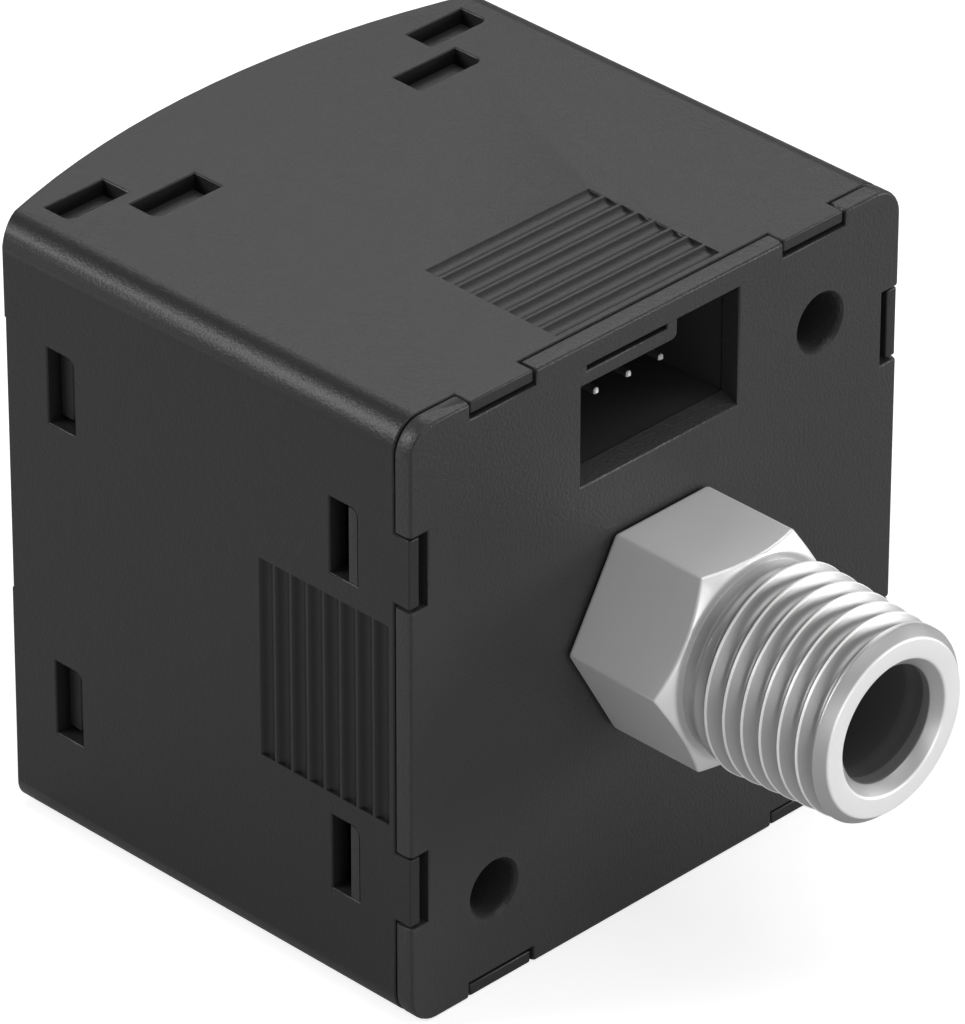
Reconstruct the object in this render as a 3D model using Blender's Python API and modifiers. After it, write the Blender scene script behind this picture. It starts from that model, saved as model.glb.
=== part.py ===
"""Pressure sensor with a display: a moulded housing and rear cover, a threaded metal
port and a plug socket at the back, and the boards, display and keys that they hold.

Metres, +Z up. The origin is the middle of the flat underside. The display and its
keys face -Y, and the port and the plug socket face +Y. Depths are measured inwards
from the rear face, and heights on the port outwards from it.
"""

import math

import bmesh
import bpy
from mathutils import Matrix, Vector

# Body
BODY_WIDTH = 0.0300
BODY_HEIGHT = 0.0300
SIDE_DEPTH = 0.0250  # rear face to the front corners
FRONT_RADIUS = 0.0450  # bulge of the front, seen from above
EDGE_RADIUS = 0.0015
WALL = 0.0010

# Clearances
SEAM_GAP = 0.00005  # seam between housing and cover
SLIP_GAP = 0.0001  # moulded pieces that push together
SEAT_GAP = 0.0003  # pieces that rest on each other
PIN_GAP = 0.00005  # around pins in their holes, and catches in their windows

# Tongues of the housing in notches of the cover
COVER_EDGE = 0.0010  # plate of the cover, up to the seam
COVER_ROUND = 0.00015
TONGUE_THICKNESS = 0.0006
TONGUE_OFFSET = 0.00952  # top and bottom: middle of each from the middle plane
TONGUE_WIDTH = 0.00372
TOP_NOTCH_DEPTH = 0.0008
SIDE_TONGUE_OFFSET = 0.0080  # sides: middle of each above and below the port's axis
SIDE_TONGUE_WIDTH = 0.00342
SIDE_NOTCH_DEPTH = 0.00105
NOTCH_CLEARANCE = 0.00014

# Cover: skirt and latches
SKIRT_THICKNESS = 0.0009
SKIRT_END = 0.0030  # depth
LATCH_REACH = 0.0012  # length of each arm beyond its catch
LATCH_CATCH = 0.0005
LATCH_SET_BACK = 0.00005

# Windows of the housing: the rear ones by their depth, the others from the front corners
REAR_WINDOW_DEPTH = 0.0032
REAR_WINDOW_LENGTH = 0.0017
SIDE_WINDOW_HEIGHT = 0.0038
FRONT_WINDOW_SET_BACK = 0.0044
FRONT_WINDOW_LENGTH = 0.0017
TOP_WINDOW_OFFSET = 0.0080
TOP_WINDOW_WIDTH = 0.0039
WINDOW_SPACING = 0.0008
OUTER_WINDOW_LENGTH = 0.0016
OUTER_WINDOW_OFFSET = 0.0110
OUTER_WINDOW_WIDTH = 0.0035
WINDOW_CORNER = 0.0004

# Grip grooves
GROOVES = 8
GROOVE_PITCH = 0.0010
GROOVE_WIDTH = 0.00088
GROOVE_DEPTH = 0.0002
GROOVE_LENGTH = 0.0100
GROOVE_START = 0.00135  # depth of the first groove's edge

# Screw holes of the cover, one high and one low
SCREW_OFFSET_X = 0.0100
SCREW_OFFSET_Z = 0.0100
SCREW_BORE = 0.0025
SCREW_LEAD = 0.0030
SCREW_LEAD_DEPTH = 0.0003
SCREW_DEPTH = 0.0065
BOSS_DIAMETER = 0.0048

# Plug socket: opening in the cover, header and pins
SOCKET_WIDTH = 0.0097
SOCKET_BOTTOM = 0.0070  # below the top face
SOCKET_TOP = 0.0011
SOCKET_LIP = 0.00035
LATCH_BAR_HEIGHT = 0.00095
LATCH_BAR_LENGTH = 0.0059
LATCH_BAR_CORNER = 0.0003
LATCH_BAR_SET_BACK = 0.00005
LATCH_SLOT_HEIGHT = 0.0003
LATCH_SLOT_LENGTH = 0.0049
LATCH_SLOT_INSET = 0.0004
HEADER_WALL = 0.0007
HEADER_BASE = 0.0010
PIN_COUNT = 4
PIN_PITCH = 0.0020
PIN_SIDE = 0.0004
PIN_DEPTH = 0.0028  # depth of the tips
PIN_BELOW_TOP = 0.0050
PIN_TAIL = 0.0005
PIN_ROUND = 0.00008

# Port
HEX_FLATS = 0.00985
HEX_LENGTH = 0.00575
HEX_SLOPE = 30.0  # degrees, of the chamfered corners
HEX_BASE_CHAMFER = 0.00015
COLLAR_DIAMETER = 0.0088
THREAD_START = 0.0066
THREAD_END = 0.0134
THREAD_DIAMETER = 0.00995
THREAD_PITCH = 0.0010
THREAD_DEPTH = 0.0005
THREAD_TAPER = 8.6  # length for each unit of diameter
PORT_END = 0.0139
PORT_BORE = 0.0055
PORT_COUNTERSINK = 0.0005
PORT_BORE_FLOOR = 0.0010
PORT_DUCT = 0.0024
SHANK_DIAMETER = 0.0084
SHANK_END = 0.0066  # depth
CLIP_THICKNESS = 0.0008
CLIP_DIAMETER = 0.0112
CLIP_GROOVE_DEPTH = 0.0007
CLIP_OPENING = 70.0  # degrees
SEAL_DIAMETER = 0.0058  # through the middle of the cord
SEAL_CORD = 0.00066
SEAL_GROOVE_WIDTH = 0.0010
SEAL_SQUEEZE_GAP = 0.00003

# Sensor board and capsule
BOARD_THICKNESS = 0.0010
BOARD_CORNER = 0.0005
SENSOR_BOARD_MARGIN = 0.0010  # to the inside of the housing
CAPSULE_DIAMETER = 0.0100
CAPSULE_HEAD_DIAMETER = 0.0080
CAPSULE_HEIGHT = 0.0022
CAPSULE_BASE = 0.0012
CAPSULE_DUCT_DEPTH = 0.0008
AMPLIFIER_SIDE = 0.0050
AMPLIFIER_HEIGHT = 0.0012
CHIP_CHAMFER = 0.0002

# Main board and the link between the boards
MAIN_BOARD_MARGIN = 0.0014
LINK_PINS = 4
LINK_PITCH = 0.00254
LINK_SIDE = 0.0006
LINK_HEIGHT = 0.0034  # above the underside
LINK_BODY = 0.0025
PROCESSOR_SIDE = 0.0070
PROCESSOR_HEIGHT = 0.0010

# Display
PANE_BOTTOM = 0.0115
PANE_TOP = 0.0253
PANE_THICKNESS = 0.0010
PANE_RECESS = 0.00007
PANE_GAP = 0.00005
VIEW_WIDTH = 0.0212
VIEW_HEIGHT = 0.0102
DISPLAY_WIDTH = 0.0222
DISPLAY_HEIGHT = 0.0110
DISPLAY_THICKNESS = 0.0015
DISPLAY_GAP = 0.0002  # its corners to the frame's curved plate
GUIDE_THICKNESS = 0.0016
COLLAR_WALL = 0.0008

# Front frame
FRAME_THICKNESS = 0.0020
FRAME_SKIRT = 0.0008
FRAME_SKIRT_GAP = 0.0004  # from the front windows to the skirt
HOOK_THICKNESS = 0.0007
HOOK_INSET = 0.00005  # behind the face of the skirt
HOOK_WIDTH = 0.0034
HOOK_CATCH = 0.0003  # height of the catch in its window
HOOK_CLEARANCE = 0.00015
HOOK_LEAD = 0.0001  # length of each hook beyond its window

# Keys and their switches
KEYS = ("left", "centre", "right")
KEY_PITCH = 0.0086
KEY_WIDTH = 0.0074
KEY_HEIGHT = 0.0052
KEY_MIDDLE = 0.0060  # above the underside
KEY_CORNER = 0.0010
KEY_PROUD = 0.0005
KEY_GAP = 0.00015
KEY_FLANGE = 0.0005
KEY_FLANGE_GAP = 0.00025
KEY_FLANGE_THICKNESS = 0.00065  # where the frame's plate comes nearest
KEY_TRAVEL = 0.0003
KEY_POST_DIAMETER = 0.0020
SWITCH_SIDE = 0.0036
SWITCH_HEIGHT = 0.0011
SWITCH_WELL_DEPTH = 0.0008
PLUNGER_DIAMETER = 0.0016
PLUNGER_SHOW = 0.0006
PLUNGER_GAP = 0.00005

# Roundness
ROUND_STEPS = 32
CORNER_STEPS = 8
ARC_STEPS = 18
CUT_MARGIN = 0.0010
SMOOTH_ANGLE = 35.0
FLAT_ANGLE = 0.1
FILL_SCALE = 1000  # outlines are filled this much larger, because filling merges near points

# Places that follow from the sizes
REAR_Y = SIDE_DEPTH / 2
HALF_WIDTH = BODY_WIDTH / 2
PORT_Z = BODY_HEIGHT / 2
FRONT_CENTRE_Y = math.sqrt(FRONT_RADIUS**2 - HALF_WIDTH**2) - REAR_Y
INNER_HALF = HALF_WIDTH - WALL
INNER_TOP = BODY_HEIGHT - WALL
COVER_INSIDE_Y = REAR_Y - COVER_EDGE
SHANK_END_Y = REAR_Y - SHANK_END
CAPSULE_TOP_Y = SHANK_END_Y - SEAT_GAP
SENSOR_BOARD_Y = CAPSULE_TOP_Y - CAPSULE_HEIGHT - SLIP_GAP
PIN_Z = BODY_HEIGHT - PIN_BELOW_TOP
SIDE_TONGUE_HEIGHTS = (PORT_Z - SIDE_TONGUE_OFFSET, PORT_Z + SIDE_TONGUE_OFFSET)
FRONT_WINDOW_DEPTH = SIDE_DEPTH - FRONT_WINDOW_SET_BACK
FRONT_WINDOW_END = FRONT_WINDOW_DEPTH + FRONT_WINDOW_LENGTH
OUTER_WINDOW_DEPTH = FRONT_WINDOW_END + WINDOW_SPACING
FRAME_SKIRT_DEPTH = FRONT_WINDOW_END + FRAME_SKIRT_GAP
PLATE_BACK_RADIUS = FRONT_RADIUS - FRAME_THICKNESS
DISPLAY_Y = FRONT_CENTRE_Y - math.sqrt(PLATE_BACK_RADIUS**2 - DISPLAY_WIDTH**2 / 4) + DISPLAY_GAP
GUIDE_Y = DISPLAY_Y + DISPLAY_THICKNESS + SLIP_GAP
MAIN_BOARD_Y = GUIDE_Y + GUIDE_THICKNESS + SEAT_GAP
KEYS_REACH = (len(KEYS) - 1) / 2 * KEY_PITCH + KEY_WIDTH / 2 + KEY_FLANGE
FLANGE_RADIUS = PLATE_BACK_RADIUS - KEY_FLANGE_GAP
KEY_BACK_Y = FRONT_CENTRE_Y - math.sqrt(FLANGE_RADIUS**2 - KEYS_REACH**2) + KEY_FLANGE_THICKNESS
HEX_CORNERS = HEX_FLATS / math.cos(math.radians(30))

# Exact quarter turns, from the local axes to those of the product
SLAB_TURNS = {
    "X": Matrix(((0, 0, 1), (1, 0, 0), (0, 1, 0))).to_4x4(),
    "Y": Matrix(((1, 0, 0), (0, 0, -1), (0, 1, 0))).to_4x4(),
    "Z": Matrix.Identity(4),
}
ROUND_TURNS = {
    "X": Matrix(((0, 0, 1), (0, 1, 0), (-1, 0, 0))).to_4x4(),
    "Y": Matrix(((1, 0, 0), (0, 0, 1), (0, -1, 0))).to_4x4(),
    "Z": Matrix.Identity(4),
}
AXES = {"X": Vector((1, 0, 0)), "Y": Vector((0, 1, 0)), "Z": Vector((0, 0, 1))}

PLASTIC = (0.055, 0.056, 0.058)
STEEL = (0.62, 0.61, 0.59)
BOARD_GREEN = (0.03, 0.14, 0.06)
CHIP_BLACK = (0.02, 0.02, 0.022)
GOLD = (0.75, 0.6, 0.3)


def clear_scene():
    for obj in list(bpy.data.objects):
        bpy.data.objects.remove(obj)


def new_collection(name):
    found = bpy.data.collections.new(name)
    bpy.context.scene.collection.children.link(found)
    return found


clear_scene()
PARTS = new_collection("pressure_sensor")
CUTTERS = new_collection("cutters")


# Shapes


def shape(name, mesh, at=(0, 0, 0)):
    """A helper object: it stays in the cutters until finish() makes it a part."""
    obj = bpy.data.objects.new(name, mesh)
    obj.location = at
    obj.hide_render = True
    obj.display_type = "WIRE"
    CUTTERS.objects.link(obj)
    return obj


def evaluated_mesh(obj):
    graph = bpy.context.evaluated_depsgraph_get()
    return bpy.data.meshes.new_from_object(obj.evaluated_get(graph))


def slab(name, loops, low, high, axis="Y", at=(0, 0, 0)):
    """A flat outline with any holes, thick from low to high along the axis."""
    curve = bpy.data.curves.new(name, "CURVE")
    curve.dimensions = "2D"
    curve.fill_mode = "BOTH"
    curve.extrude = FILL_SCALE * (high - low) / 2
    for loop in loops:
        spline = curve.splines.new("POLY")
        spline.points.add(len(loop) - 1)
        for point, (across, up) in zip(spline.points, loop):
            point.co = (FILL_SCALE * across, FILL_SCALE * up, 0, 1)
        spline.use_cyclic_u = True
    place = Vector(at) + AXES[axis] * (low + high) / 2
    outline = shape(name + "_outline", curve)
    mesh = evaluated_mesh(outline)
    bpy.data.objects.remove(outline)
    work = bmesh.new()
    work.from_mesh(mesh)
    bmesh.ops.scale(work, vec=[1 / FILL_SCALE] * 3, verts=work.verts)
    bmesh.ops.remove_doubles(work, verts=work.verts, dist=1e-7)
    bmesh.ops.dissolve_limit(
        work, angle_limit=math.radians(FLAT_ANGLE), verts=work.verts, edges=work.edges
    )
    bmesh.ops.recalc_face_normals(work, faces=work.faces)
    work.to_mesh(mesh)
    work.free()
    mesh.transform(SLAB_TURNS[axis])
    return shape(name, mesh, place)


def box(name, low, high):
    """A box between two corners."""
    low = Vector(low)
    high = Vector(high)
    work = bmesh.new()
    bmesh.ops.create_cube(work, size=1)
    bmesh.ops.scale(work, vec=high - low, verts=work.verts)
    mesh = bpy.data.meshes.new(name)
    work.to_mesh(mesh)
    work.free()
    return shape(name, mesh, (low + high) / 2)


def rod(name, diameter, low, high, axis="Y", at=(0, 0, 0), segments=ROUND_STEPS):
    """A round rod from low to high along the axis, on the point given."""
    work = bmesh.new()
    bmesh.ops.create_cone(
        work,
        cap_ends=True,
        segments=segments,
        radius1=diameter / 2,
        radius2=diameter / 2,
        depth=high - low,
    )
    mesh = bpy.data.meshes.new(name)
    work.to_mesh(mesh)
    work.free()
    mesh.transform(ROUND_TURNS[axis])
    return shape(name, mesh, Vector(at) + AXES[axis] * (low + high) / 2)


def turned(name, profile, axis="Y", at=(0, 0, 0), steps=ROUND_STEPS):
    """A turned solid from (radius, height) pairs that run down its outer side."""
    work = bmesh.new()
    points = [work.verts.new((radius, 0, height)) for radius, height in profile]
    for first, second in zip(points, points[1:]):
        work.edges.new((first, second))
    if profile[0][0] > 0:
        work.edges.new((points[-1], points[0]))
    mesh = bpy.data.meshes.new(name)
    work.to_mesh(mesh)
    work.free()
    obj = shape(name, mesh, at)
    screw = obj.modifiers.new("Turn", "SCREW")
    screw.axis = "Z"
    screw.angle = 2 * math.pi
    screw.steps = steps
    screw.render_steps = steps
    screw.use_merge_vertices = True
    screw.merge_threshold = 1e-6
    apply_modifiers(obj)
    obj.data.transform(ROUND_TURNS[axis])
    return obj


def rounded(left, right, bottom, top, radii=0):
    """A rectangle's corners in order. The radii start at the lower left corner."""
    if not isinstance(radii, tuple):
        radii = (radii,) * 4
    corners = ((left, bottom), (right, bottom), (right, top), (left, top))
    points = []
    for number, ((across, up), radius) in enumerate(zip(corners, radii)):
        if radius == 0:
            points.append((across, up))
            continue
        middle_across = across + radius if across == left else across - radius
        middle_up = up + radius if up == bottom else up - radius
        for step in range(CORNER_STEPS + 1):
            angle = math.radians(180 + 90 * (number + step / CORNER_STEPS))
            points.append(
                (
                    middle_across + radius * math.cos(angle),
                    middle_up + radius * math.sin(angle),
                )
            )
    return points


def square_ring(outer_inset, inner_inset):
    """Outer and inner outline of a square ring, by their insets from the body's sides."""
    loops = []
    for inset in (outer_inset, inner_inset):
        radius = max(EDGE_RADIUS - inset, 0)
        half = HALF_WIDTH - inset
        loops.append(rounded(-half, half, inset, BODY_HEIGHT - inset, radius))
    return loops


def arc_points(radius, left, right):
    """Points of the bulging front between two sides, at a radius about its centre."""
    points = []
    for step in range(ARC_STEPS + 1):
        x = left + (right - left) * step / ARC_STEPS
        points.append((x, FRONT_CENTRE_Y - math.sqrt(radius**2 - x**2)))
    return points


def ahead_of_arc(name, radius, low, high):
    """All that lies in front of the bulge at this radius, between two heights."""
    half = HALF_WIDTH + CUT_MARGIN
    far = FRONT_CENTRE_Y - FRONT_RADIUS - KEY_PROUD - 3 * CUT_MARGIN
    loop = arc_points(radius, -half, half) + [(half, far), (-half, far)]
    return slab(name, [loop], low, high, "Z")


def arc_band(name, outer, inner, half, low, high):
    """A curved plate between two radii about the front's centre."""
    loop = arc_points(outer, -half, half) + arc_points(inner, half, -half)
    return slab(name, [loop], low, high, "Z")


# Changes to shapes


def apply_modifiers(obj):
    mesh = evaluated_mesh(obj)
    obj.modifiers.clear()
    obj.data = mesh


def combine(obj, others, operation):
    """Joins, cuts or keeps obj with the others, which are used up."""
    for other in others:
        boolean = obj.modifiers.new(other.name, "BOOLEAN")
        boolean.operation = operation
        boolean.solver = "EXACT"
        boolean.object = other
    apply_modifiers(obj)
    for other in others:
        bpy.data.objects.remove(other)


def cut(obj, *others):
    combine(obj, others, "DIFFERENCE")


def join(obj, *others):
    combine(obj, others, "UNION")


def keep_inside(obj, other):
    combine(obj, [other], "INTERSECT")


def group(name, shapes):
    """One object that holds separate shapes, so that one Boolean uses them all."""
    work = bmesh.new()
    for item in shapes:
        mesh = item.data.copy()
        mesh.transform(item.matrix_basis)
        work.from_mesh(mesh)
        bpy.data.objects.remove(item)
    mesh = bpy.data.meshes.new(name)
    work.to_mesh(mesh)
    work.free()
    return shape(name, mesh)


def bevel(obj, width, segments=1):
    modifier = obj.modifiers.new("Bevel", "BEVEL")
    modifier.width = width
    modifier.segments = segments
    modifier.limit_method = "ANGLE"
    modifier.angle_limit = math.radians(60)
    apply_modifiers(obj)


def finish(obj, colour, roughness, metallic=0.0):
    """Makes a shape a part of the product, with its own material."""
    CUTTERS.objects.unlink(obj)
    PARTS.objects.link(obj)
    obj.hide_render = False
    obj.display_type = "TEXTURED"
    material = bpy.data.materials.new(obj.name)
    material.use_nodes = True
    surface = material.node_tree.nodes["Principled BSDF"]
    surface.inputs["Base Color"].default_value = (*colour, 1)
    surface.inputs["Roughness"].default_value = roughness
    surface.inputs["Metallic"].default_value = metallic
    obj.data.materials.clear()
    obj.data.materials.append(material)
    obj.data.shade_smooth()
    obj.data.set_sharp_from_angle(angle=math.radians(SMOOTH_ANGLE))
    return obj


# Housing


def side_boxes(name, sign, heights, width, inner, outer, near, far):
    """Boxes at several heights on one side, between two distances from the middle."""
    low_x, high_x = sorted((sign * inner, sign * outer))
    return [
        box(
            f"{name}_{number}",
            (low_x, REAR_Y - far, height - width / 2),
            (high_x, REAR_Y - near, height + width / 2),
        )
        for number, height in enumerate(heights)
    ]


def flat_boxes(name, offset, width, low, high, near, far):
    """Boxes at the same offset on both sides of the middle, between two heights."""
    return [
        box(
            f"{name}_{number}",
            (sign * offset - width / 2, REAR_Y - far, low),
            (sign * offset + width / 2, REAR_Y - near, high),
        )
        for number, sign in enumerate((-1, 1))
    ]


def tongue_cut():
    """All that lies behind the housing's rear edge, but for the tongues."""
    edge = REAR_Y - COVER_EDGE - SEAM_GAP
    reach = HALF_WIDTH + CUT_MARGIN
    far = COVER_EDGE + SEAM_GAP + CUT_MARGIN
    near = -2 * CUT_MARGIN
    rest = box(
        "tongue_cut",
        (-reach, edge, -CUT_MARGIN),
        (reach, REAR_Y + CUT_MARGIN, BODY_HEIGHT + CUT_MARGIN),
    )
    tongues = []
    for sign in (-1, 1):
        tongues += side_boxes(
            "tongue",
            sign,
            SIDE_TONGUE_HEIGHTS,
            SIDE_TONGUE_WIDTH,
            HALF_WIDTH - TONGUE_THICKNESS,
            reach + CUT_MARGIN,
            near,
            far,
        )
    for low, high in (
        (-2 * CUT_MARGIN, TONGUE_THICKNESS),
        (BODY_HEIGHT - TONGUE_THICKNESS, BODY_HEIGHT + 2 * CUT_MARGIN),
    ):
        tongues += flat_boxes("tongue", TONGUE_OFFSET, TONGUE_WIDTH, low, high, near, far)
    cut(rest, group("tongues", tongues))
    return rest


def side_windows():
    """Windows through both side walls for the latches of the cover and the frame."""
    spans = (
        (REAR_WINDOW_DEPTH, REAR_WINDOW_LENGTH),
        (FRONT_WINDOW_DEPTH, FRONT_WINDOW_LENGTH),
    )
    found = []
    for sign in (-1, 1):
        low, high = sorted((sign * (INNER_HALF - CUT_MARGIN), sign * (HALF_WIDTH + CUT_MARGIN)))
        for depth, length in spans:
            for height in SIDE_TONGUE_HEIGHTS:
                outline = rounded(
                    REAR_Y - depth - length,
                    REAR_Y - depth,
                    height - SIDE_WINDOW_HEIGHT / 2,
                    height + SIDE_WINDOW_HEIGHT / 2,
                    (0, 0, WINDOW_CORNER, 0),
                )
                found.append(slab("window", [outline], low, high, "X"))
    return group("side_windows", found)


def flat_windows():
    """Windows through the top and the underside for the hooks of the front frame."""
    spans = (
        (FRONT_WINDOW_DEPTH, FRONT_WINDOW_LENGTH, TOP_WINDOW_OFFSET, TOP_WINDOW_WIDTH),
        (OUTER_WINDOW_DEPTH, OUTER_WINDOW_LENGTH, OUTER_WINDOW_OFFSET, OUTER_WINDOW_WIDTH),
    )
    levels = (
        (-CUT_MARGIN, WALL + CUT_MARGIN),
        (INNER_TOP - CUT_MARGIN, BODY_HEIGHT + CUT_MARGIN),
    )
    found = []
    for low, high in levels:
        for depth, length, offset, width in spans:
            for sign in (-1, 1):
                corners = (0, 0, WINDOW_CORNER, 0) if sign > 0 else (0, 0, 0, WINDOW_CORNER)
                outline = rounded(
                    sign * offset - width / 2,
                    sign * offset + width / 2,
                    REAR_Y - depth - length,
                    REAR_Y - depth,
                    corners,
                )
                found.append(slab("window", [outline], low, high, "Z"))
    return group("flat_windows", found)


def grip_grooves():
    """Round-bottomed channels side by side on all four faces, near the rear."""
    radius = (GROOVE_WIDTH**2 / 4 + GROOVE_DEPTH**2) / (2 * GROOVE_DEPTH)
    out = radius - GROOVE_DEPTH
    half = GROOVE_LENGTH / 2
    found = []
    for number in range(GROOVES):
        y = REAR_Y - GROOVE_START - GROOVE_WIDTH / 2 - number * GROOVE_PITCH
        for z in (-out, BODY_HEIGHT + out):
            found.append(rod("groove", 2 * radius, -half, half, "X", (0, y, z), 24))
        for x in (-HALF_WIDTH - out, HALF_WIDTH + out):
            found.append(rod("groove", 2 * radius, -half, half, "Z", (x, y, PORT_Z), 24))
    return group("grip_grooves", found)


def make_housing():
    """The sleeve: its front rim follows the bulge, and its rear edge bears the tongues."""
    front = FRONT_CENTRE_Y - FRONT_RADIUS - CUT_MARGIN
    housing = slab("housing", square_ring(0, WALL), front, REAR_Y - SLIP_GAP)
    cut(
        housing,
        tongue_cut(),
        ahead_of_arc("front_cut", FRONT_RADIUS, -CUT_MARGIN, BODY_HEIGHT + CUT_MARGIN),
        ahead_of_arc("pane_cut", FRONT_RADIUS - PANE_RECESS, PANE_BOTTOM, PANE_TOP),
    )
    cut(housing, side_windows(), flat_windows(), grip_grooves())
    finish(housing, PLASTIC, 0.55)


# Rear cover


def cover_notches():
    """Notches in the cover's edge for the housing's tongues."""
    near = -CUT_MARGIN
    far = COVER_EDGE + CUT_MARGIN
    found = []
    for sign in (-1, 1):
        found += side_boxes(
            "notch",
            sign,
            SIDE_TONGUE_HEIGHTS,
            SIDE_TONGUE_WIDTH + 2 * NOTCH_CLEARANCE,
            HALF_WIDTH - SIDE_NOTCH_DEPTH,
            HALF_WIDTH + CUT_MARGIN,
            near,
            far,
        )
    width = TONGUE_WIDTH + 2 * NOTCH_CLEARANCE
    found += flat_boxes(
        "notch", TONGUE_OFFSET, width, -CUT_MARGIN, TOP_NOTCH_DEPTH, near, far
    )
    found += flat_boxes(
        "notch",
        TONGUE_OFFSET,
        width,
        BODY_HEIGHT - TOP_NOTCH_DEPTH,
        BODY_HEIGHT + CUT_MARGIN,
        near,
        far,
    )
    return group("cover_notches", found)


def latch_arms():
    """Arms in the skirt whose catches fill the near ends of the rear side windows."""
    face = HALF_WIDTH - WALL - SLIP_GAP - HOOK_INSET
    back = face - SKIRT_THICKNESS + 2 * HOOK_INSET
    near = REAR_WINDOW_DEPTH + PIN_GAP
    root = COVER_EDGE / 2
    width = SIDE_WINDOW_HEIGHT - 2 * PIN_GAP
    found = []
    for sign in (-1, 1):
        found += side_boxes(
            "latch_arm",
            sign,
            SIDE_TONGUE_HEIGHTS,
            width - 2 * HOOK_INSET,
            back,
            face,
            root,
            near + LATCH_REACH,
        )
        low, high = sorted((sign * (face - HOOK_INSET), sign * (HALF_WIDTH - LATCH_SET_BACK)))
        for height in SIDE_TONGUE_HEIGHTS:
            outline = rounded(
                REAR_Y - near - LATCH_CATCH,
                REAR_Y - near,
                height - width / 2,
                height + width / 2,
                (0, 0, WINDOW_CORNER, 0),
            )
            found.append(slab("latch_catch", [outline], low, high, "X"))
    return found


def socket_cut():
    """The plug opening, with the latch bar left standing along its top."""
    left = -SOCKET_WIDTH / 2
    right = SOCKET_WIDTH / 2
    bottom = BODY_HEIGHT - SOCKET_BOTTOM + SOCKET_LIP
    top = BODY_HEIGHT - SOCKET_TOP
    bar_end = right - LATCH_BAR_LENGTH
    bar_bottom = top - LATCH_BAR_HEIGHT
    loop = [(left, bottom), (right, bottom), (right, bar_bottom)]
    for step in range(CORNER_STEPS // 2 + 1):
        angle = math.radians(270 - 90 * step / (CORNER_STEPS // 2))
        loop.append(
            (
                bar_end + LATCH_BAR_CORNER * (1 + math.cos(angle)),
                bar_bottom + LATCH_BAR_CORNER * (1 + math.sin(angle)),
            )
        )
    loop += [(bar_end, top), (left, top)]
    return slab("socket", [loop], COVER_INSIDE_Y - CUT_MARGIN, REAR_Y + CUT_MARGIN)


def socket_lip_cut():
    """A wedge that slopes the opening's lower lip outwards."""
    low = BODY_HEIGHT - SOCKET_BOTTOM
    slope = SOCKET_LIP / COVER_EDGE
    loop = [
        (REAR_Y + CUT_MARGIN, low - slope * CUT_MARGIN),
        (REAR_Y + CUT_MARGIN, low + 2 * SOCKET_LIP),
        (COVER_INSIDE_Y - CUT_MARGIN, low + 2 * SOCKET_LIP),
        (COVER_INSIDE_Y - CUT_MARGIN, low + slope * (COVER_EDGE + CUT_MARGIN)),
    ]
    return slab("socket_lip", [loop], -SOCKET_WIDTH / 2, SOCKET_WIDTH / 2, "X")


def latch_bar_cuts():
    """The slot above the latch bar and the step that sets the bar back."""
    right = SOCKET_WIDTH / 2
    top = BODY_HEIGHT - SOCKET_TOP
    slot_right = right - LATCH_SLOT_INSET
    slot = box(
        "latch_slot",
        (slot_right - LATCH_SLOT_LENGTH, COVER_INSIDE_Y - CUT_MARGIN, top - LATCH_SLOT_HEIGHT),
        (slot_right, REAR_Y + CUT_MARGIN, top),
    )
    step = box(
        "latch_step",
        (right - LATCH_BAR_LENGTH, REAR_Y - LATCH_BAR_SET_BACK, top - LATCH_BAR_HEIGHT),
        (right, REAR_Y + CUT_MARGIN, top),
    )
    return slot, step


def screw_places():
    """The two screw holes, high on one side and low on the other."""
    return (
        (-SCREW_OFFSET_X, 0, PORT_Z + SCREW_OFFSET_Z),
        (SCREW_OFFSET_X, 0, PORT_Z - SCREW_OFFSET_Z),
    )


def screw_bore(place):
    """A blind bore with a short lead-in, as a turned cutter."""
    lead = SCREW_LEAD / 2
    slope = (lead - SCREW_BORE / 2) / SCREW_LEAD_DEPTH
    profile = [
        (0, CUT_MARGIN),
        (lead + slope * CUT_MARGIN, CUT_MARGIN),
        (SCREW_BORE / 2, -SCREW_LEAD_DEPTH),
        (SCREW_BORE / 2, -SCREW_DEPTH),
        (0, -SCREW_DEPTH),
    ]
    return turned("screw_bore", profile, "Y", Vector(place) + Vector((0, REAR_Y, 0)))


def make_rear_cover():
    """The cover: a plate with a skirt, latch arms, screw bosses and its openings."""
    half = HALF_WIDTH
    outline = rounded(-half, half, 0, BODY_HEIGHT, EDGE_RADIUS)
    cover = slab("rear_cover", [outline], COVER_INSIDE_Y, REAR_Y)
    bevel(cover, COVER_ROUND, 2)
    cut(cover, cover_notches())
    inset = WALL + SLIP_GAP
    skirt = slab(
        "skirt",
        square_ring(inset, inset + SKIRT_THICKNESS),
        REAR_Y - SKIRT_END,
        REAR_Y - COVER_EDGE / 2,
    )
    reach = SOCKET_WIDTH / 2 + HEADER_WALL + 2 * SLIP_GAP + 2 * SEAT_GAP
    room = box(
        "header_room",
        (-reach, REAR_Y - SKIRT_END - CUT_MARGIN, PIN_Z),
        (reach, COVER_INSIDE_Y, BODY_HEIGHT),
    )
    cut(skirt, room)
    join(cover, skirt, *latch_arms())
    boss_end = SENSOR_BOARD_Y + SEAT_GAP
    places = screw_places()
    join(
        cover,
        *(rod("boss", BOSS_DIAMETER, boss_end, REAR_Y - COVER_EDGE / 2, "Y", place) for place in places),
    )
    cut(cover, *(screw_bore(place) for place in places))
    port_hole = rod(
        "port_hole",
        SHANK_DIAMETER + 2 * SLIP_GAP,
        COVER_INSIDE_Y - CUT_MARGIN,
        REAR_Y + CUT_MARGIN,
        "Y",
        (0, 0, PORT_Z),
    )
    cut(cover, socket_cut(), socket_lip_cut(), *latch_bar_cuts(), port_hole)
    finish(cover, PLASTIC, 0.6)


# Port


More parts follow.
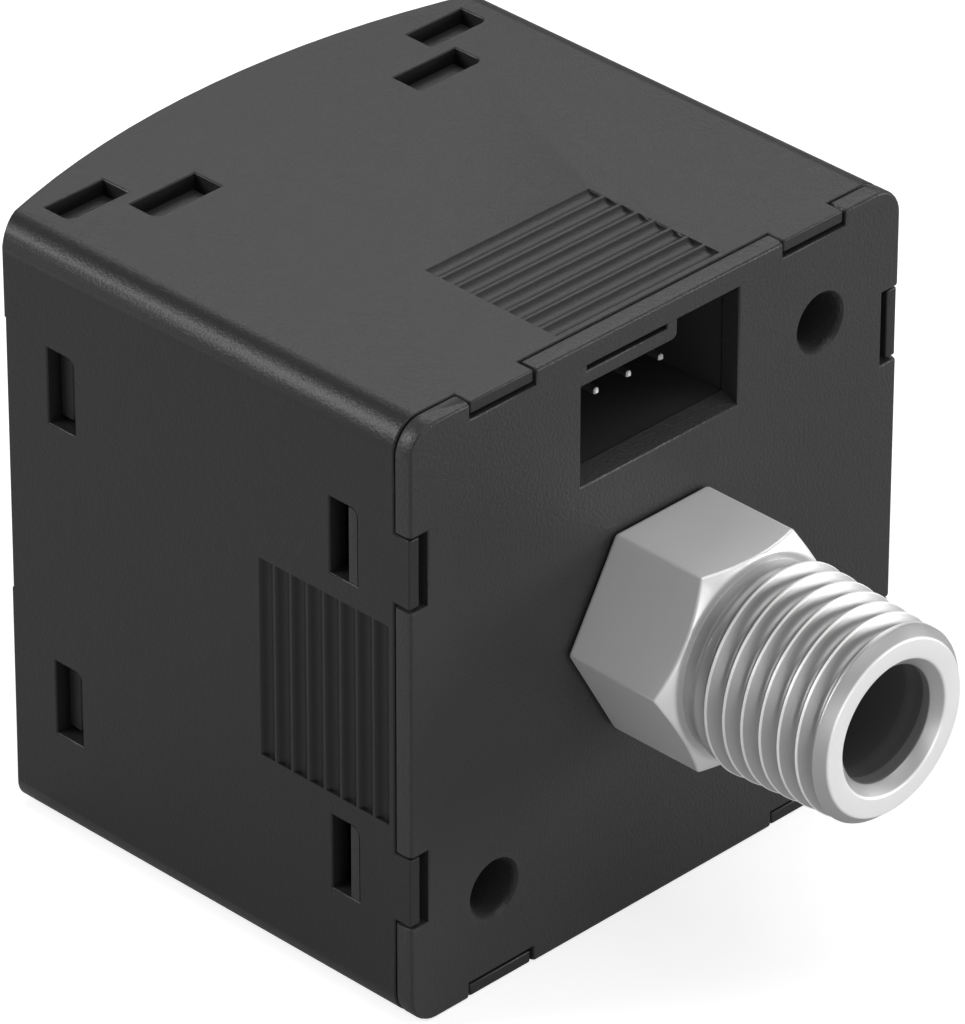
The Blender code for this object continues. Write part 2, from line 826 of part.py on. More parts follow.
def crest_radius(height):
    return (THREAD_DIAMETER - (height - THREAD_START) / THREAD_TAPER) / 2


def thread_profile():
    """The tapered thread's outline, ring by ring, from the outer end to the collar."""
    turns = int((THREAD_END - THREAD_START) / THREAD_PITCH)
    points = []
    for turn in range(turns):
        crest = THREAD_END - turn * THREAD_PITCH
        valleys = (crest - 0.36 * THREAD_PITCH, crest - 0.64 * THREAD_PITCH)
        points.append((crest_radius(crest), crest))
        points += [(crest_radius(valley) - THREAD_DEPTH, valley) for valley in valleys]
    last = THREAD_END - turns * THREAD_PITCH
    points.append((crest_radius(last), last))
    return points


def shaft_profile():
    """Outline of all that is turned on the port, down its outer side."""
    shank = SHANK_DIAMETER / 2
    clip_top = -COVER_EDGE
    clip_floor = clip_top - CLIP_THICKNESS - 2 * PIN_GAP
    groove = shank - CLIP_GROOVE_DEPTH
    end_chamfer = PORT_END - THREAD_END
    end_radius = crest_radius(THREAD_END) - end_chamfer
    return [
        (0, PORT_END),
        (end_radius, PORT_END),
        *thread_profile(),
        (COLLAR_DIAMETER / 2, THREAD_START - THREAD_DEPTH),
        (COLLAR_DIAMETER / 2, HEX_LENGTH / 2),
        (shank, HEX_LENGTH / 2),
        (shank, clip_top),
        (groove, clip_top),
        (groove, clip_floor),
        (shank, clip_floor),
        (shank, -SHANK_END),
        (0, -SHANK_END),
    ]


def hexagon():
    """The hexagon, with its corners chamfered at the outer end and eased at the base."""
    corner = HEX_CORNERS / 2
    loop = [
        (
            corner * math.cos(math.radians(60 * side)),
            corner * math.sin(math.radians(60 * side)),
        )
        for side in range(6)
    ]
    body = slab("hexagon", [loop], SLIP_GAP, HEX_LENGTH, "Y", (0, REAR_Y, PORT_Z))
    slope = math.tan(math.radians(HEX_SLOPE))
    flats = HEX_FLATS / 2
    wide = corner + CUT_MARGIN
    profile = [
        (0, HEX_LENGTH + CUT_MARGIN * slope),
        (flats - CUT_MARGIN, HEX_LENGTH + CUT_MARGIN * slope),
        (wide, HEX_LENGTH - (wide - flats) * slope),
        (wide, SLIP_GAP + HEX_BASE_CHAMFER + CUT_MARGIN),
        (corner - HEX_BASE_CHAMFER, SLIP_GAP),
        (0, SLIP_GAP),
    ]
    keep_inside(body, turned("hex_chamfer", profile, "Y", (0, REAR_Y, PORT_Z)))
    return body


def port_bore():
    """The bore: countersunk and wide outside, then a narrow duct to the sensor."""
    bore = PORT_BORE / 2
    duct = PORT_DUCT / 2
    profile = [
        (0, PORT_END + CUT_MARGIN),
        (bore + PORT_COUNTERSINK + CUT_MARGIN, PORT_END + CUT_MARGIN),
        (bore, PORT_END - PORT_COUNTERSINK),
        (bore, PORT_BORE_FLOOR + bore - duct),
        (duct, PORT_BORE_FLOOR),
        (duct, -SHANK_END - CUT_MARGIN),
        (0, -SHANK_END - CUT_MARGIN),
    ]
    return turned("port_bore", profile, "Y", (0, REAR_Y, PORT_Z))


def seal_groove_depth():
    return SEAL_CORD + 2 * SEAL_SQUEEZE_GAP - SEAT_GAP


def seal_groove():
    inner = (SEAL_DIAMETER - SEAL_GROOVE_WIDTH) / 2
    outer = (SEAL_DIAMETER + SEAL_GROOVE_WIDTH) / 2
    top = -SHANK_END + seal_groove_depth()
    low = -SHANK_END - CUT_MARGIN
    profile = [(outer, top), (outer, low), (inner, low), (inner, top)]
    return turned("seal_groove", profile, "Y", (0, REAR_Y, PORT_Z))


def make_port_fitting():
    """The metal port: hexagon, tapered thread, shank, bore and seal groove."""
    fitting = turned("port_fitting", shaft_profile(), "Y", (0, REAR_Y, PORT_Z))
    join(fitting, hexagon())
    cut(fitting, port_bore(), seal_groove())
    finish(fitting, STEEL, 0.28, 1.0)


def make_port_seal():
    """The ring between the port's inner end and the pressure capsule."""
    bpy.ops.mesh.primitive_torus_add(
        major_radius=SEAL_DIAMETER / 2,
        minor_radius=SEAL_CORD / 2,
        major_segments=24,
        minor_segments=8,
    )
    made = bpy.context.object
    mesh = made.data
    bpy.data.objects.remove(made)
    y = CAPSULE_TOP_Y + SEAL_CORD / 2 + SEAL_SQUEEZE_GAP
    mesh.transform(ROUND_TURNS["Y"])
    seal = shape("port_seal", mesh, (0, y, PORT_Z))
    finish(seal, (0.03, 0.03, 0.03), 0.7)


def make_port_clip():
    """The open ring that holds the port's shank behind the cover."""
    inner = SHANK_DIAMETER / 2 - CLIP_GROOVE_DEPTH + PIN_GAP
    outer = CLIP_DIAMETER / 2
    start = -90 + CLIP_OPENING / 2
    sweep = 360 - CLIP_OPENING
    loop = []
    for radius, first, last in ((outer, 0, 1), (inner, 1, 0)):
        for step in range(ROUND_STEPS + 1):
            share = first + (last - first) * step / ROUND_STEPS
            angle = math.radians(start + sweep * share)
            loop.append((radius * math.cos(angle), radius * math.sin(angle)))
    high = COVER_INSIDE_Y - PIN_GAP
    clip = slab("port_clip", [loop], high - CLIP_THICKNESS, high, "Y", (0, 0, PORT_Z))
    finish(clip, STEEL, 0.35, 1.0)


# Sensor board


def make_sensor_capsule():
    """The pressure capsule: a disc with a raised head and a blind duct in its middle."""
    profile = [
        (0, CAPSULE_HEIGHT),
        (CAPSULE_HEAD_DIAMETER / 2, CAPSULE_HEIGHT),
        (CAPSULE_HEAD_DIAMETER / 2, CAPSULE_BASE),
        (CAPSULE_DIAMETER / 2, CAPSULE_BASE),
        (CAPSULE_DIAMETER / 2, 0),
        (0, 0),
    ]
    base = CAPSULE_TOP_Y - CAPSULE_HEIGHT
    capsule = turned("sensor_capsule", profile, "Y", (0, base, PORT_Z))
    low = CAPSULE_TOP_Y - CAPSULE_DUCT_DEPTH
    high = CAPSULE_TOP_Y + CUT_MARGIN
    cut(capsule, rod("capsule_duct", PORT_DUCT, low, high, "Y", (0, 0, PORT_Z)))
    finish(capsule, (0.8, 0.79, 0.76), 0.4)


def pin_rows(count, pitch):
    """Offsets of a row of pins from its middle."""
    return [(number - (count - 1) / 2) * pitch for number in range(count)]


def pin_holes(name, rows, z, side, low, high):
    """Square holes for a row of pins."""
    half = side / 2 + PIN_GAP
    return group(
        name,
        [box("hole", (x - half, low, z - half), (x + half, high, z + half)) for x in rows],
    )


def make_board(name, low, high, margin):
    """A board that fills the housing's inside but for a margin, with its pin holes."""
    half = INNER_HALF - margin
    outline = rounded(-half, half, WALL + margin, INNER_TOP - margin, BOARD_CORNER)
    board = slab(name, [outline], low, high)
    rows = pin_rows(LINK_PINS, LINK_PITCH)
    near = low - CUT_MARGIN
    far = high + CUT_MARGIN
    cut(board, pin_holes("link_holes", rows, LINK_HEIGHT, LINK_SIDE, near, far))
    return board


def make_sensor_board():
    low = SENSOR_BOARD_Y - BOARD_THICKNESS
    board = make_board("sensor_board", low, SENSOR_BOARD_Y, SENSOR_BOARD_MARGIN)
    rows = pin_rows(PIN_COUNT, PIN_PITCH)
    near = low - CUT_MARGIN
    far = SENSOR_BOARD_Y + CUT_MARGIN
    cut(board, pin_holes("contact_holes", rows, PIN_Z, PIN_SIDE, near, far))
    finish(board, BOARD_GREEN, 0.45)


def make_chip(name, side, low, high, z):
    """A flat chip with eased edges."""
    half = side / 2
    chip = box(name, (-half, low, z - half), (half, high, z + half))
    bevel(chip, CHIP_CHAMFER)
    finish(chip, CHIP_BLACK, 0.5)


def make_amplifier_chip():
    high = SENSOR_BOARD_Y - BOARD_THICKNESS - SLIP_GAP
    make_chip("amplifier_chip", AMPLIFIER_SIDE, high - AMPLIFIER_HEIGHT, high, PORT_Z)


def make_connector_header():
    """The plug header: a shroud round the pins, open at the rear and over its key slot."""
    inner = SOCKET_WIDTH / 2 + PIN_GAP
    outer = inner + HEADER_WALL
    floor = BODY_HEIGHT - SOCKET_BOTTOM + SOCKET_LIP - PIN_GAP
    ceiling = BODY_HEIGHT - SOCKET_TOP - LATCH_BAR_HEIGHT
    top = INNER_TOP - SLIP_GAP
    base = SENSOR_BOARD_Y + SEAT_GAP
    mouth = COVER_INSIDE_Y - SLIP_GAP
    header = box("connector_header", (-outer, base, floor - HEADER_WALL), (outer, mouth, top))
    cavity = box(
        "header_cavity",
        (-inner, base + HEADER_BASE, floor),
        (inner, mouth + CUT_MARGIN, ceiling),
    )
    key_slot = box(
        "header_slot",
        (-inner, base + HEADER_BASE, PIN_Z),
        (SOCKET_WIDTH / 2 - LATCH_BAR_LENGTH, mouth + CUT_MARGIN, top + CUT_MARGIN),
    )
    cut(header, cavity, key_slot)
    rows = pin_rows(PIN_COUNT, PIN_PITCH)
    low = base - CUT_MARGIN
    high = base + HEADER_BASE + SEAT_GAP
    cut(header, pin_holes("header_holes", rows, PIN_Z, PIN_SIDE, low, high))
    finish(header, CHIP_BLACK, 0.45)


def make_pins(name, rows, z, side, low, high):
    """A row of square pins with eased ends, each a piece of its own."""
    half = side / 2
    for number, x in enumerate(rows, start=1):
        pin = box(f"{name}_{number}", (x - half, low, z - half), (x + half, high, z + half))
        bevel(pin, PIN_ROUND)
        finish(pin, GOLD, 0.3, 1.0)


def make_contact_pins():
    low = SENSOR_BOARD_Y - BOARD_THICKNESS - PIN_TAIL
    rows = pin_rows(PIN_COUNT, PIN_PITCH)
    make_pins("contact_pin", rows, PIN_Z, PIN_SIDE, low, REAR_Y - PIN_DEPTH)


# Main board


def make_main_board():
    high = MAIN_BOARD_Y + BOARD_THICKNESS
    board = make_board("main_board", MAIN_BOARD_Y, high, MAIN_BOARD_MARGIN)
    finish(board, BOARD_GREEN, 0.45)


def make_link():
    """The spacer and the pins that join the two boards."""
    rows = pin_rows(LINK_PINS, LINK_PITCH)
    half = (LINK_PINS * LINK_PITCH) / 2
    low = MAIN_BOARD_Y + BOARD_THICKNESS + SLIP_GAP
    high = SENSOR_BOARD_Y - BOARD_THICKNESS - SLIP_GAP
    spacer = box(
        "link_spacer",
        (-half, low, LINK_HEIGHT - LINK_BODY / 2),
        (half, high, LINK_HEIGHT + LINK_BODY / 2),
    )
    holes = pin_holes(
        "spacer_holes", rows, LINK_HEIGHT, LINK_SIDE, low - CUT_MARGIN, high + CUT_MARGIN
    )
    cut(spacer, holes)
    finish(spacer, CHIP_BLACK, 0.5)
    make_pins(
        "link_pin",
        rows,
        LINK_HEIGHT,
        LINK_SIDE,
        MAIN_BOARD_Y - PIN_TAIL,
        SENSOR_BOARD_Y + PIN_TAIL,
    )


def make_processor_chip():
    low = MAIN_BOARD_Y + BOARD_THICKNESS + SLIP_GAP
    make_chip("processor_chip", PROCESSOR_SIDE, low, low + PROCESSOR_HEIGHT, PORT_Z)


# Display and front frame


def display_middle():
    return (PANE_BOTTOM + PANE_TOP) / 2


def centred(width, height, z, corner=0):
    """A rectangle about the middle plane, at a height."""
    return rounded(-width / 2, width / 2, z - height / 2, z + height / 2, corner)


def make_display_window():
    """The curved pane over the display, from one side wall to the other."""
    face = FRONT_RADIUS - PANE_RECESS
    pane = arc_band(
        "display_window",
        face,
        face - PANE_THICKNESS,
        INNER_HALF - SLIP_GAP,
        PANE_BOTTOM + PANE_GAP,
        PANE_TOP - PANE_GAP,
    )
    finish(pane, (0.02, 0.02, 0.022), 0.08)


def make_display_stack():
    """The display and its light guide, one behind the other in the frame's collar."""
    z = display_middle()
    outline = centred(DISPLAY_WIDTH, DISPLAY_HEIGHT, z)
    guide = slab("light_guide", [outline], GUIDE_Y, GUIDE_Y + GUIDE_THICKNESS)
    finish(guide, (0.85, 0.86, 0.88), 0.2)
    display = slab("display_module", [outline], DISPLAY_Y, DISPLAY_Y + DISPLAY_THICKNESS)
    bevel(display, CHIP_CHAMFER)
    finish(display, (0.06, 0.07, 0.08), 0.15)


def key_places():
    """Name and middle of each key."""
    return [(name, x) for name, x in zip(KEYS, pin_rows(len(KEYS), KEY_PITCH))]


def hook_outline(face, catch):
    """Side view of a hook, as (out, y) points: an arm with a ramped catch."""
    root = REAR_Y - FRAME_SKIRT_DEPTH - FRAME_SKIRT
    front = REAR_Y - FRONT_WINDOW_END + HOOK_CLEARANCE
    back = REAR_Y - FRONT_WINDOW_DEPTH - HOOK_CLEARANCE
    return [
        (face - HOOK_THICKNESS, root),
        (face, root),
        (face, front),
        (catch, front),
        (catch, (front + back) / 2),
        (face - HOOK_INSET, back),
        (face - 2 * HOOK_INSET, REAR_Y - FRONT_WINDOW_DEPTH + HOOK_LEAD),
        (face - HOOK_THICKNESS, REAR_Y - FRONT_WINDOW_DEPTH + HOOK_LEAD),
    ]


def side_hooks():
    """Hooks into the front side windows."""
    face = INNER_HALF - SLIP_GAP - HOOK_INSET
    points = hook_outline(face, INNER_HALF + HOOK_CATCH)
    found = []
    for sign in (-1, 1):
        outline = [(sign * out, y) for out, y in points]
        for height in SIDE_TONGUE_HEIGHTS:
            low = height - HOOK_WIDTH / 2
            found.append(slab("side_hook", [outline], low, low + HOOK_WIDTH, "Z"))
    return found


def flat_hooks():
    """Hooks into the inner windows of the top and the underside."""
    face = INNER_TOP - SLIP_GAP - HOOK_INSET
    points = hook_outline(face, INNER_TOP + HOOK_CATCH)
    found = []
    for outline in (
        [(y, up) for up, y in points],
        [(y, BODY_HEIGHT - up) for up, y in points],
    ):
        for sign in (-1, 1):
            low = sign * TOP_WINDOW_OFFSET - HOOK_WIDTH / 2
            found.append(slab("flat_hook", [outline], low, low + HOOK_WIDTH, "X"))
    return found


def skirt_lugs():
    """Lugs on the frame's skirt that sit in the outer windows."""
    near = OUTER_WINDOW_DEPTH + HOOK_CLEARANCE
    far = OUTER_WINDOW_DEPTH + OUTER_WINDOW_LENGTH - HOOK_CLEARANCE
    width = OUTER_WINDOW_WIDTH - 2 * HOOK_CLEARANCE
    depth = SLIP_GAP + HOOK_CATCH + FRAME_SKIRT / 2
    found = []
    for low in (WALL - HOOK_CATCH, INNER_TOP + HOOK_CATCH - depth):
        found += flat_boxes("lug", OUTER_WINDOW_OFFSET, width, low, low + depth, near, far)
    return found


def key_holes():
    """Holes through the frame for the keys."""
    loops = []
    for _, x in key_places():
        half = KEY_WIDTH / 2 + KEY_GAP
        rise = KEY_HEIGHT / 2 + KEY_GAP
        corner = KEY_CORNER + KEY_GAP
        loops.append(
            rounded(x - half, x + half, KEY_MIDDLE - rise, KEY_MIDDLE + rise, corner)
        )
    low = FRONT_CENTRE_Y - FRONT_RADIUS - CUT_MARGIN
    return group("key_holes", [slab("key_hole", [loop], low, KEY_BACK_Y) for loop in loops])


def make_front_frame():
    """The frame: a curved plate with a skirt, hooks and a collar for the display."""
    front = FRONT_CENTRE_Y - FRONT_RADIUS - CUT_MARGIN
    inset = WALL + SLIP_GAP
    low = inset + FRAME_SKIRT / 2
    frame = slab(
        "front_frame",
        square_ring(inset, inset + FRAME_SKIRT),
        front,
        REAR_Y - FRAME_SKIRT_DEPTH,
    )
    plate = arc_band(
        "frame_plate",
        FRONT_RADIUS + CUT_MARGIN,
        PLATE_BACK_RADIUS,
        HALF_WIDTH - low,
        low,
        BODY_HEIGHT - low,
    )
    z = display_middle()
    gap = 2 * SLIP_GAP
    collar = slab(
        "collar",
        [
            centred(
                DISPLAY_WIDTH + gap + 2 * COLLAR_WALL,
                DISPLAY_HEIGHT + gap + 2 * COLLAR_WALL,
                z,
            ),
            centred(DISPLAY_WIDTH + gap, DISPLAY_HEIGHT + gap, z),
        ],
        front,
        MAIN_BOARD_Y - SLIP_GAP,
    )
    join(frame, plate, collar, *side_hooks(), *flat_hooks(), *skirt_lugs())
    view = slab("view", [centred(VIEW_WIDTH, VIEW_HEIGHT, z)], front, MAIN_BOARD_Y)
    pocket_radius = FRONT_RADIUS - PANE_RECESS - PANE_THICKNESS - PANE_GAP
    cut(
        frame,
        view,
        key_holes(),
        ahead_of_arc("frame_front", FRONT_RADIUS, -CUT_MARGIN, BODY_HEIGHT + CUT_MARGIN),
        ahead_of_arc("pane_pocket", pocket_radius, PANE_BOTTOM, PANE_TOP),
    )
    finish(frame, PLASTIC, 0.5)


# Keys and switches


def make_key(name, x):
    """A key: a cap with a curved face, a flange behind the frame and a post."""
    front = FRONT_CENTRE_Y - FRONT_RADIUS - 2 * CUT_MARGIN
    at = (x, KEY_BACK_Y, KEY_MIDDLE)
    half = KEY_WIDTH / 2
    rise = KEY_HEIGHT / 2
    key = slab(
        f"key_{name}",
        [rounded(-half, half, -rise, rise, KEY_CORNER)],
        front - KEY_BACK_Y,
        0,
        "Y",
        at,
    )
    place_origin(key, at)
    cut(key, ahead_of_arc("face", FRONT_RADIUS + KEY_PROUD, 0, BODY_HEIGHT))
    wide = half + KEY_FLANGE
    tall = rise + KEY_FLANGE
    flange = slab(
        "flange",
        [rounded(-wide, wide, -tall, tall, KEY_CORNER)],
        front - KEY_BACK_Y,
        SLIP_GAP,
        "Y",
        at,
    )
    cut(flange, ahead_of_arc("flange_face", FLANGE_RADIUS, 0, BODY_HEIGHT))
    post = rod("post", KEY_POST_DIAMETER, -SEAT_GAP, key_post_length(), "Y", at, 24)
    join(key, flange, post)
    finish(key, (0.12, 0.12, 0.125), 0.5)
    return key


def place_origin(obj, at):
    """Moves the object's origin to a point without moving its shape."""
    obj.data.transform(Matrix.Translation(obj.location - Vector(at)))
    obj.location = at


def switch_top_y():
    return MAIN_BOARD_Y - SLIP_GAP - SWITCH_HEIGHT


def key_post_length():
    """From the key's back to the plunger of its switch."""
    return switch_top_y() - PLUNGER_SHOW - PLUNGER_GAP - KEY_BACK_Y


def make_switch(name, x):
    """A push switch on the main board, with a well for its plunger."""
    half = SWITCH_SIDE / 2
    top = switch_top_y()
    switch = box(
        f"switch_{name}",
        (x - half, top, KEY_MIDDLE - half),
        (x + half, MAIN_BOARD_Y - SLIP_GAP, KEY_MIDDLE + half),
    )
    well = rod(
        "well",
        PLUNGER_DIAMETER + 2 * PLUNGER_GAP,
        top - CUT_MARGIN,
        top + SWITCH_WELL_DEPTH,
        "Y",
        (x, 0, KEY_MIDDLE),
        24,
    )
    cut(switch, well)
    finish(switch, (0.5, 0.5, 0.48), 0.35)
    plunger = rod(
        f"switch_plunger_{name}",
        PLUNGER_DIAMETER,
        -PLUNGER_SHOW,
        SWITCH_WELL_DEPTH - KEY_TRAVEL - SLIP_GAP,
        "Y",
        (x, top, KEY_MIDDLE),
        24,
    )
    finish(plunger, CHIP_BLACK, 0.4)


def make_keys():
    for name, x in key_places():
        make_key(name, x)
        make_switch(name, x)


make_housing()
make_rear_cover()
make_port_fitting()
make_port_seal()
make_port_clip()
make_sensor_capsule()
make_sensor_board()
make_amplifier_chip()
make_connector_header()
make_contact_pins()
make_main_board()
make_link()
make_processor_chip()
make_display_window()
make_display_stack()
make_front_frame()
make_keys()
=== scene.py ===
import math

import bmesh
import bpy
from mathutils import Euler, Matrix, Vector


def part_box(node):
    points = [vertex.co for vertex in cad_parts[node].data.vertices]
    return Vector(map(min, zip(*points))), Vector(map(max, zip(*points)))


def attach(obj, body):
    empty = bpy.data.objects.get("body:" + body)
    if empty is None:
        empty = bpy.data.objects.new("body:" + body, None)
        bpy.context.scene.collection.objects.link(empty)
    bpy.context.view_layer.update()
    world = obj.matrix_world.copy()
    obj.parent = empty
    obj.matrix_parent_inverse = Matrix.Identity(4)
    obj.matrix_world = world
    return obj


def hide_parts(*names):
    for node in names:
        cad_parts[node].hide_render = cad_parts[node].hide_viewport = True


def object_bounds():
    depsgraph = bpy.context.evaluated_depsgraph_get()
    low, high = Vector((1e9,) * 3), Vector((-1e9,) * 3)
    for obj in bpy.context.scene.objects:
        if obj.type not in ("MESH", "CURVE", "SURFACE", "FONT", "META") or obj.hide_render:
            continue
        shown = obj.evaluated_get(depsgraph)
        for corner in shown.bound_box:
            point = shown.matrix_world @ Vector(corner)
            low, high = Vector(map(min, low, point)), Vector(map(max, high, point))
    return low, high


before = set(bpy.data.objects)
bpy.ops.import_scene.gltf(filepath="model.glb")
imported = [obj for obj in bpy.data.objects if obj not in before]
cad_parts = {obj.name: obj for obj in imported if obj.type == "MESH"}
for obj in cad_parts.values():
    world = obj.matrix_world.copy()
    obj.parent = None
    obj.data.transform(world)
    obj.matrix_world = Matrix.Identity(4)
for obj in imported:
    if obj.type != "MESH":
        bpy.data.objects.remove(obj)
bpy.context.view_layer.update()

MM = 0.001

# The camera that the photograph's edges give
CAMERA_PLACE = (0.24243, 0.24215, 0.22461)
CAMERA_TURN = (58.460, -0.0849, 134.8018)
CAMERA_FOCUS = 9121.0  # in pixels of the photograph
PHOTO_HEIGHT = 1024
SENSOR = 36.0  # in millimetres

# Studio: name, place, width, height and power of each softbox, and what all face
MIDDLE = (0.0, 0.002, 0.015)
SOFTBOXES = (
    ("top_softbox", (-0.06, 0.22, 0.68), 0.60, 0.60, 1.9),
    ("back_softbox", (-0.44, -0.25, 0.46), 0.65, 0.28, 1.55),
    ("front_softbox", (0.43, -0.41, 0.35), 0.36, 0.36, 3.2),
    ("right_softbox", (-0.34, 0.31, 0.075), 0.25, 0.15, 1.0),
    ("rear_softbox", (0.13, 0.48, 0.075), 0.40, 0.15, 0.65),
)
AMBIENT = 0.17
FLOOR_SIZE = 6.0
FLOOR_DROP = 0.02 * MM  # below the lowest point
FLOOR_GLOW = 0.72  # brings the floor to the backdrop's white, for the camera alone

# Places read from the frame
HALF_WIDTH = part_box("housing")[1].x
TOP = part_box("housing")[1].z
REAR_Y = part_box("rear_cover")[1].y
PORT_Z = (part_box("port_fitting")[0].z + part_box("port_fitting")[1].z) / 2

# Grip grooves: half the field's length, its first and last depth, and the painted shade
# in the side troughs, as a share of the plastic's tone
GROOVE_REACH = 5.2 * MM
GROOVE_FIELD = (5.15 * MM, 1.25 * MM, 9.5 * MM)
GROOVE_FIRST = 1.3 * MM
TROUGH_SHADE_TONE = 0.40

# The socket's pins: place of their tips, and a tip's length and share of their width
PIN_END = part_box("contact_pin_1")[1].y
PIN_TIP = 0.2 * MM
PIN_TIP_SHARE = 0.72

# Meshes: reach of a merge, and the angles, in degrees, of flat faces, of sharp shading
# and of the edges that are rounded
MERGE = 1e-6
FLAT_ANGLE = 0.2
SHARP_ANGLE = 34.0
EDGE_ANGLE = 58.0
HEX_EDGE_ANGLE = 25.0

# Rounding of edges
SHELL_ROUND = 0.08 * MM
PANE_ROUND = 0.08 * MM
KEY_ROUND = 0.18 * MM
HEX_ROUND = 0.10 * MM
SHANK_ROUND = 0.08 * MM
END_ROUND = 0.05 * MM
ON_FACE = 0.02 * MM  # how near a point on an outer face lies to it
REAR_EDGES = 1.2 * MM  # depth within which the housing's inner edges are rounded
COVER_EDGES = 0.2 * MM  # the same for the cover
FRONT_EDGES = 3.2 * MM  # the same behind the front of the pane and the keys

# Port: heights are above the rear face
HEX_FLATS = 9.85 * MM
HEX_BASE = 0.1 * MM
HEX_LENGTH = 5.75 * MM
HEX_SLOPE = 30.0  # in degrees
HEX_RIM = 0.12 * MM
THREAD_START = 6.2 * MM
THREAD_END = 13.4 * MM
THREAD_BASE = 5.5 * MM  # a crest's place on the +X side, before the thread starts
THREAD_PITCH = 1.0 * MM
THREAD_TURNS = 9
THREAD_DEPTH = 0.5 * MM
CREST_FLAT = 0.1  # as a share of half a pitch
THREAD_RUN_IN = 1.0 * MM
THREAD_RUN_OUT = 0.35 * MM
CREST_RADIUS = 4.99 * MM  # at THREAD_START
CREST_FALL = 0.058
PORT_END = 13.9 * MM
END_RADIUS = 4.12 * MM
COUNTERSINK_RADIUS = 3.25 * MM
BORE_RADIUS = 2.75 * MM
BORE_FLOOR = 1.0 * MM
DUCT_RADIUS = 1.2 * MM
SHANK_RADIUS = 4.2 * MM
SHANK_END = 6.6 * MM
CLIP_GROOVE = (1.0 * MM, 1.9 * MM, 3.5 * MM)  # its two depths and its radius
SEAL_GROOVE = (2.4 * MM, 3.4 * MM, 0.42 * MM)  # its two radii and its depth
ROUND_STEPS = 144
PITCH_ROWS = 20

# Greys of the turned metal: the shaft's tone, painted shade in the thread's roots and the bore,
# and a painted highlight along the crests
SHAFT_TONE = 0.48
ROOT_SHADE_TONE = 0.24
BORE_SHADE_TONE = 0.24
CREST_HIGHLIGHT_TONE = 0.98


def rad(angle):
    return math.radians(angle)


# Node trees


class Term:
    """An output socket whose arithmetic adds Math nodes to its tree."""

    def __init__(self, graph, socket):
        self.graph = graph
        self.socket = socket

    def __add__(self, other):
        return self.graph.maths("ADD", self, other)

    def __sub__(self, other):
        return self.graph.maths("SUBTRACT", self, other)

    def __rsub__(self, other):
        return self.graph.maths("SUBTRACT", other, self)

    def __mul__(self, other):
        return self.graph.maths("MULTIPLY", self, other)

    def __truediv__(self, other):
        return self.graph.maths("DIVIDE", self, other)

    def __pow__(self, other):
        return self.graph.maths("POWER", self, other)

    def __abs__(self):
        return self.graph.maths("ABSOLUTE", self)

    def output(self, key):
        """Another output of the same node."""
        return Term(self.graph, self.socket.node.outputs[key])

    __radd__ = __add__
    __rmul__ = __mul__


class Graph:
    """A node tree that nodes are added to, each with its settings and inputs."""

    def __init__(self, tree):
        self.tree = tree

    def add(self, kind, settings=None, inputs=None, output=0):
        node = self.tree.nodes.new(kind)
        for name, value in (settings or {}).items():
            setattr(node, name, value)
        for key, value in (inputs or {}).items():
            if isinstance(value, Term):
                self.tree.links.new(value.socket, node.inputs[key])
            else:
                node.inputs[key].default_value = value
        return Term(self, node.outputs[output]) if node.outputs else node

    def maths(self, operation, *values):
        return self.add("ShaderNodeMath", {"operation": operation}, dict(enumerate(values)))

    def clamp(self, value, low=0.0, high=1.0):
        return self.add("ShaderNodeClamp", None, {0: value, 1: low, 2: high})

    def ease(self, value, low, high):
        """Rises smoothly from 0 at low to 1 at high."""
        inputs = {0: value, 1: low, 2: high}
        return self.add("ShaderNodeMapRange", {"interpolation_type": "SMOOTHSTEP"}, inputs)

    def mix_colour(self, share, first, second):
        inputs = {0: share, 6: first, 7: second}
        return self.add("ShaderNodeMix", {"data_type": "RGBA"}, inputs, 2)

    def place(self):
        """Object coordinates, in metres."""
        return self.add("ShaderNodeTexCoord", None, None, 3)

    def axes(self):
        """The three object coordinates by themselves."""
        split = self.add("ShaderNodeSeparateXYZ", None, {0: self.place()})
        return tuple(split.output(axis) for axis in range(3))

    def noise(self, size, detail=2.0, roughness=0.5, stretch=(1, 1, 1)):
        """Noise whose grain has about this size in metres."""
        mapped = self.add(
            "ShaderNodeMapping",
            None,
            {0: self.place(), 3: tuple(factor / size for factor in stretch)},
        )
        inputs = {"Vector": mapped, "Scale": 1.0, "Detail": detail, "Roughness": roughness}
        return self.add("ShaderNodeTexNoise", None, inputs)

    def bump(self, height, distance):
        inputs = {"Strength": 1.0, "Distance": distance, "Height": height}
        return self.add("ShaderNodeBump", None, inputs)

    def seen(self):
        """1 for the camera's own rays, 0 for all light."""
        return self.add("ShaderNodeLightPath").output("Is Camera Ray")


def new_material(name):
    """An empty material with its graph and a Principled shader."""
    material = bpy.data.materials.new(name)
    material.use_nodes = True
    tree = material.node_tree
    return material, Graph(tree), tree.nodes["Principled BSDF"]


def feed(graph, shader, **inputs):
    """Sets or links the shader's sockets, named with _ for a space."""
    for name, value in inputs.items():
        socket = shader.inputs[name.replace("_", " ")]
        if isinstance(value, Term):
            graph.tree.links.new(value.socket, socket)
        else:
            socket.default_value = value


def grey(level, blue=0.0):
    return (level, level, level * (1 + blue), 1)


def shade(colour, share=1.0):
    """A colour of three parts made darker by a share, with full alpha."""
    return tuple(part * share for part in colour) + (1,)


# Materials


def painted_trough_shade(graph):
    """Where shade is painted: 1 in the troughs of the side grooves, 0 elsewhere."""
    x, y, z = graph.axes()
    half, first, last = GROOVE_FIELD
    blend = 0.05 * MM
    inwards = REAR_Y - y
    field = graph.ease(abs(z - TOP / 2), half, half - blend)
    field = field * graph.ease(inwards, first - blend, first)
    field = field * graph.ease(inwards, last + blend, last)
    return field * graph.ease(HALF_WIDTH - abs(x), 0.02 * MM, 0.12 * MM)


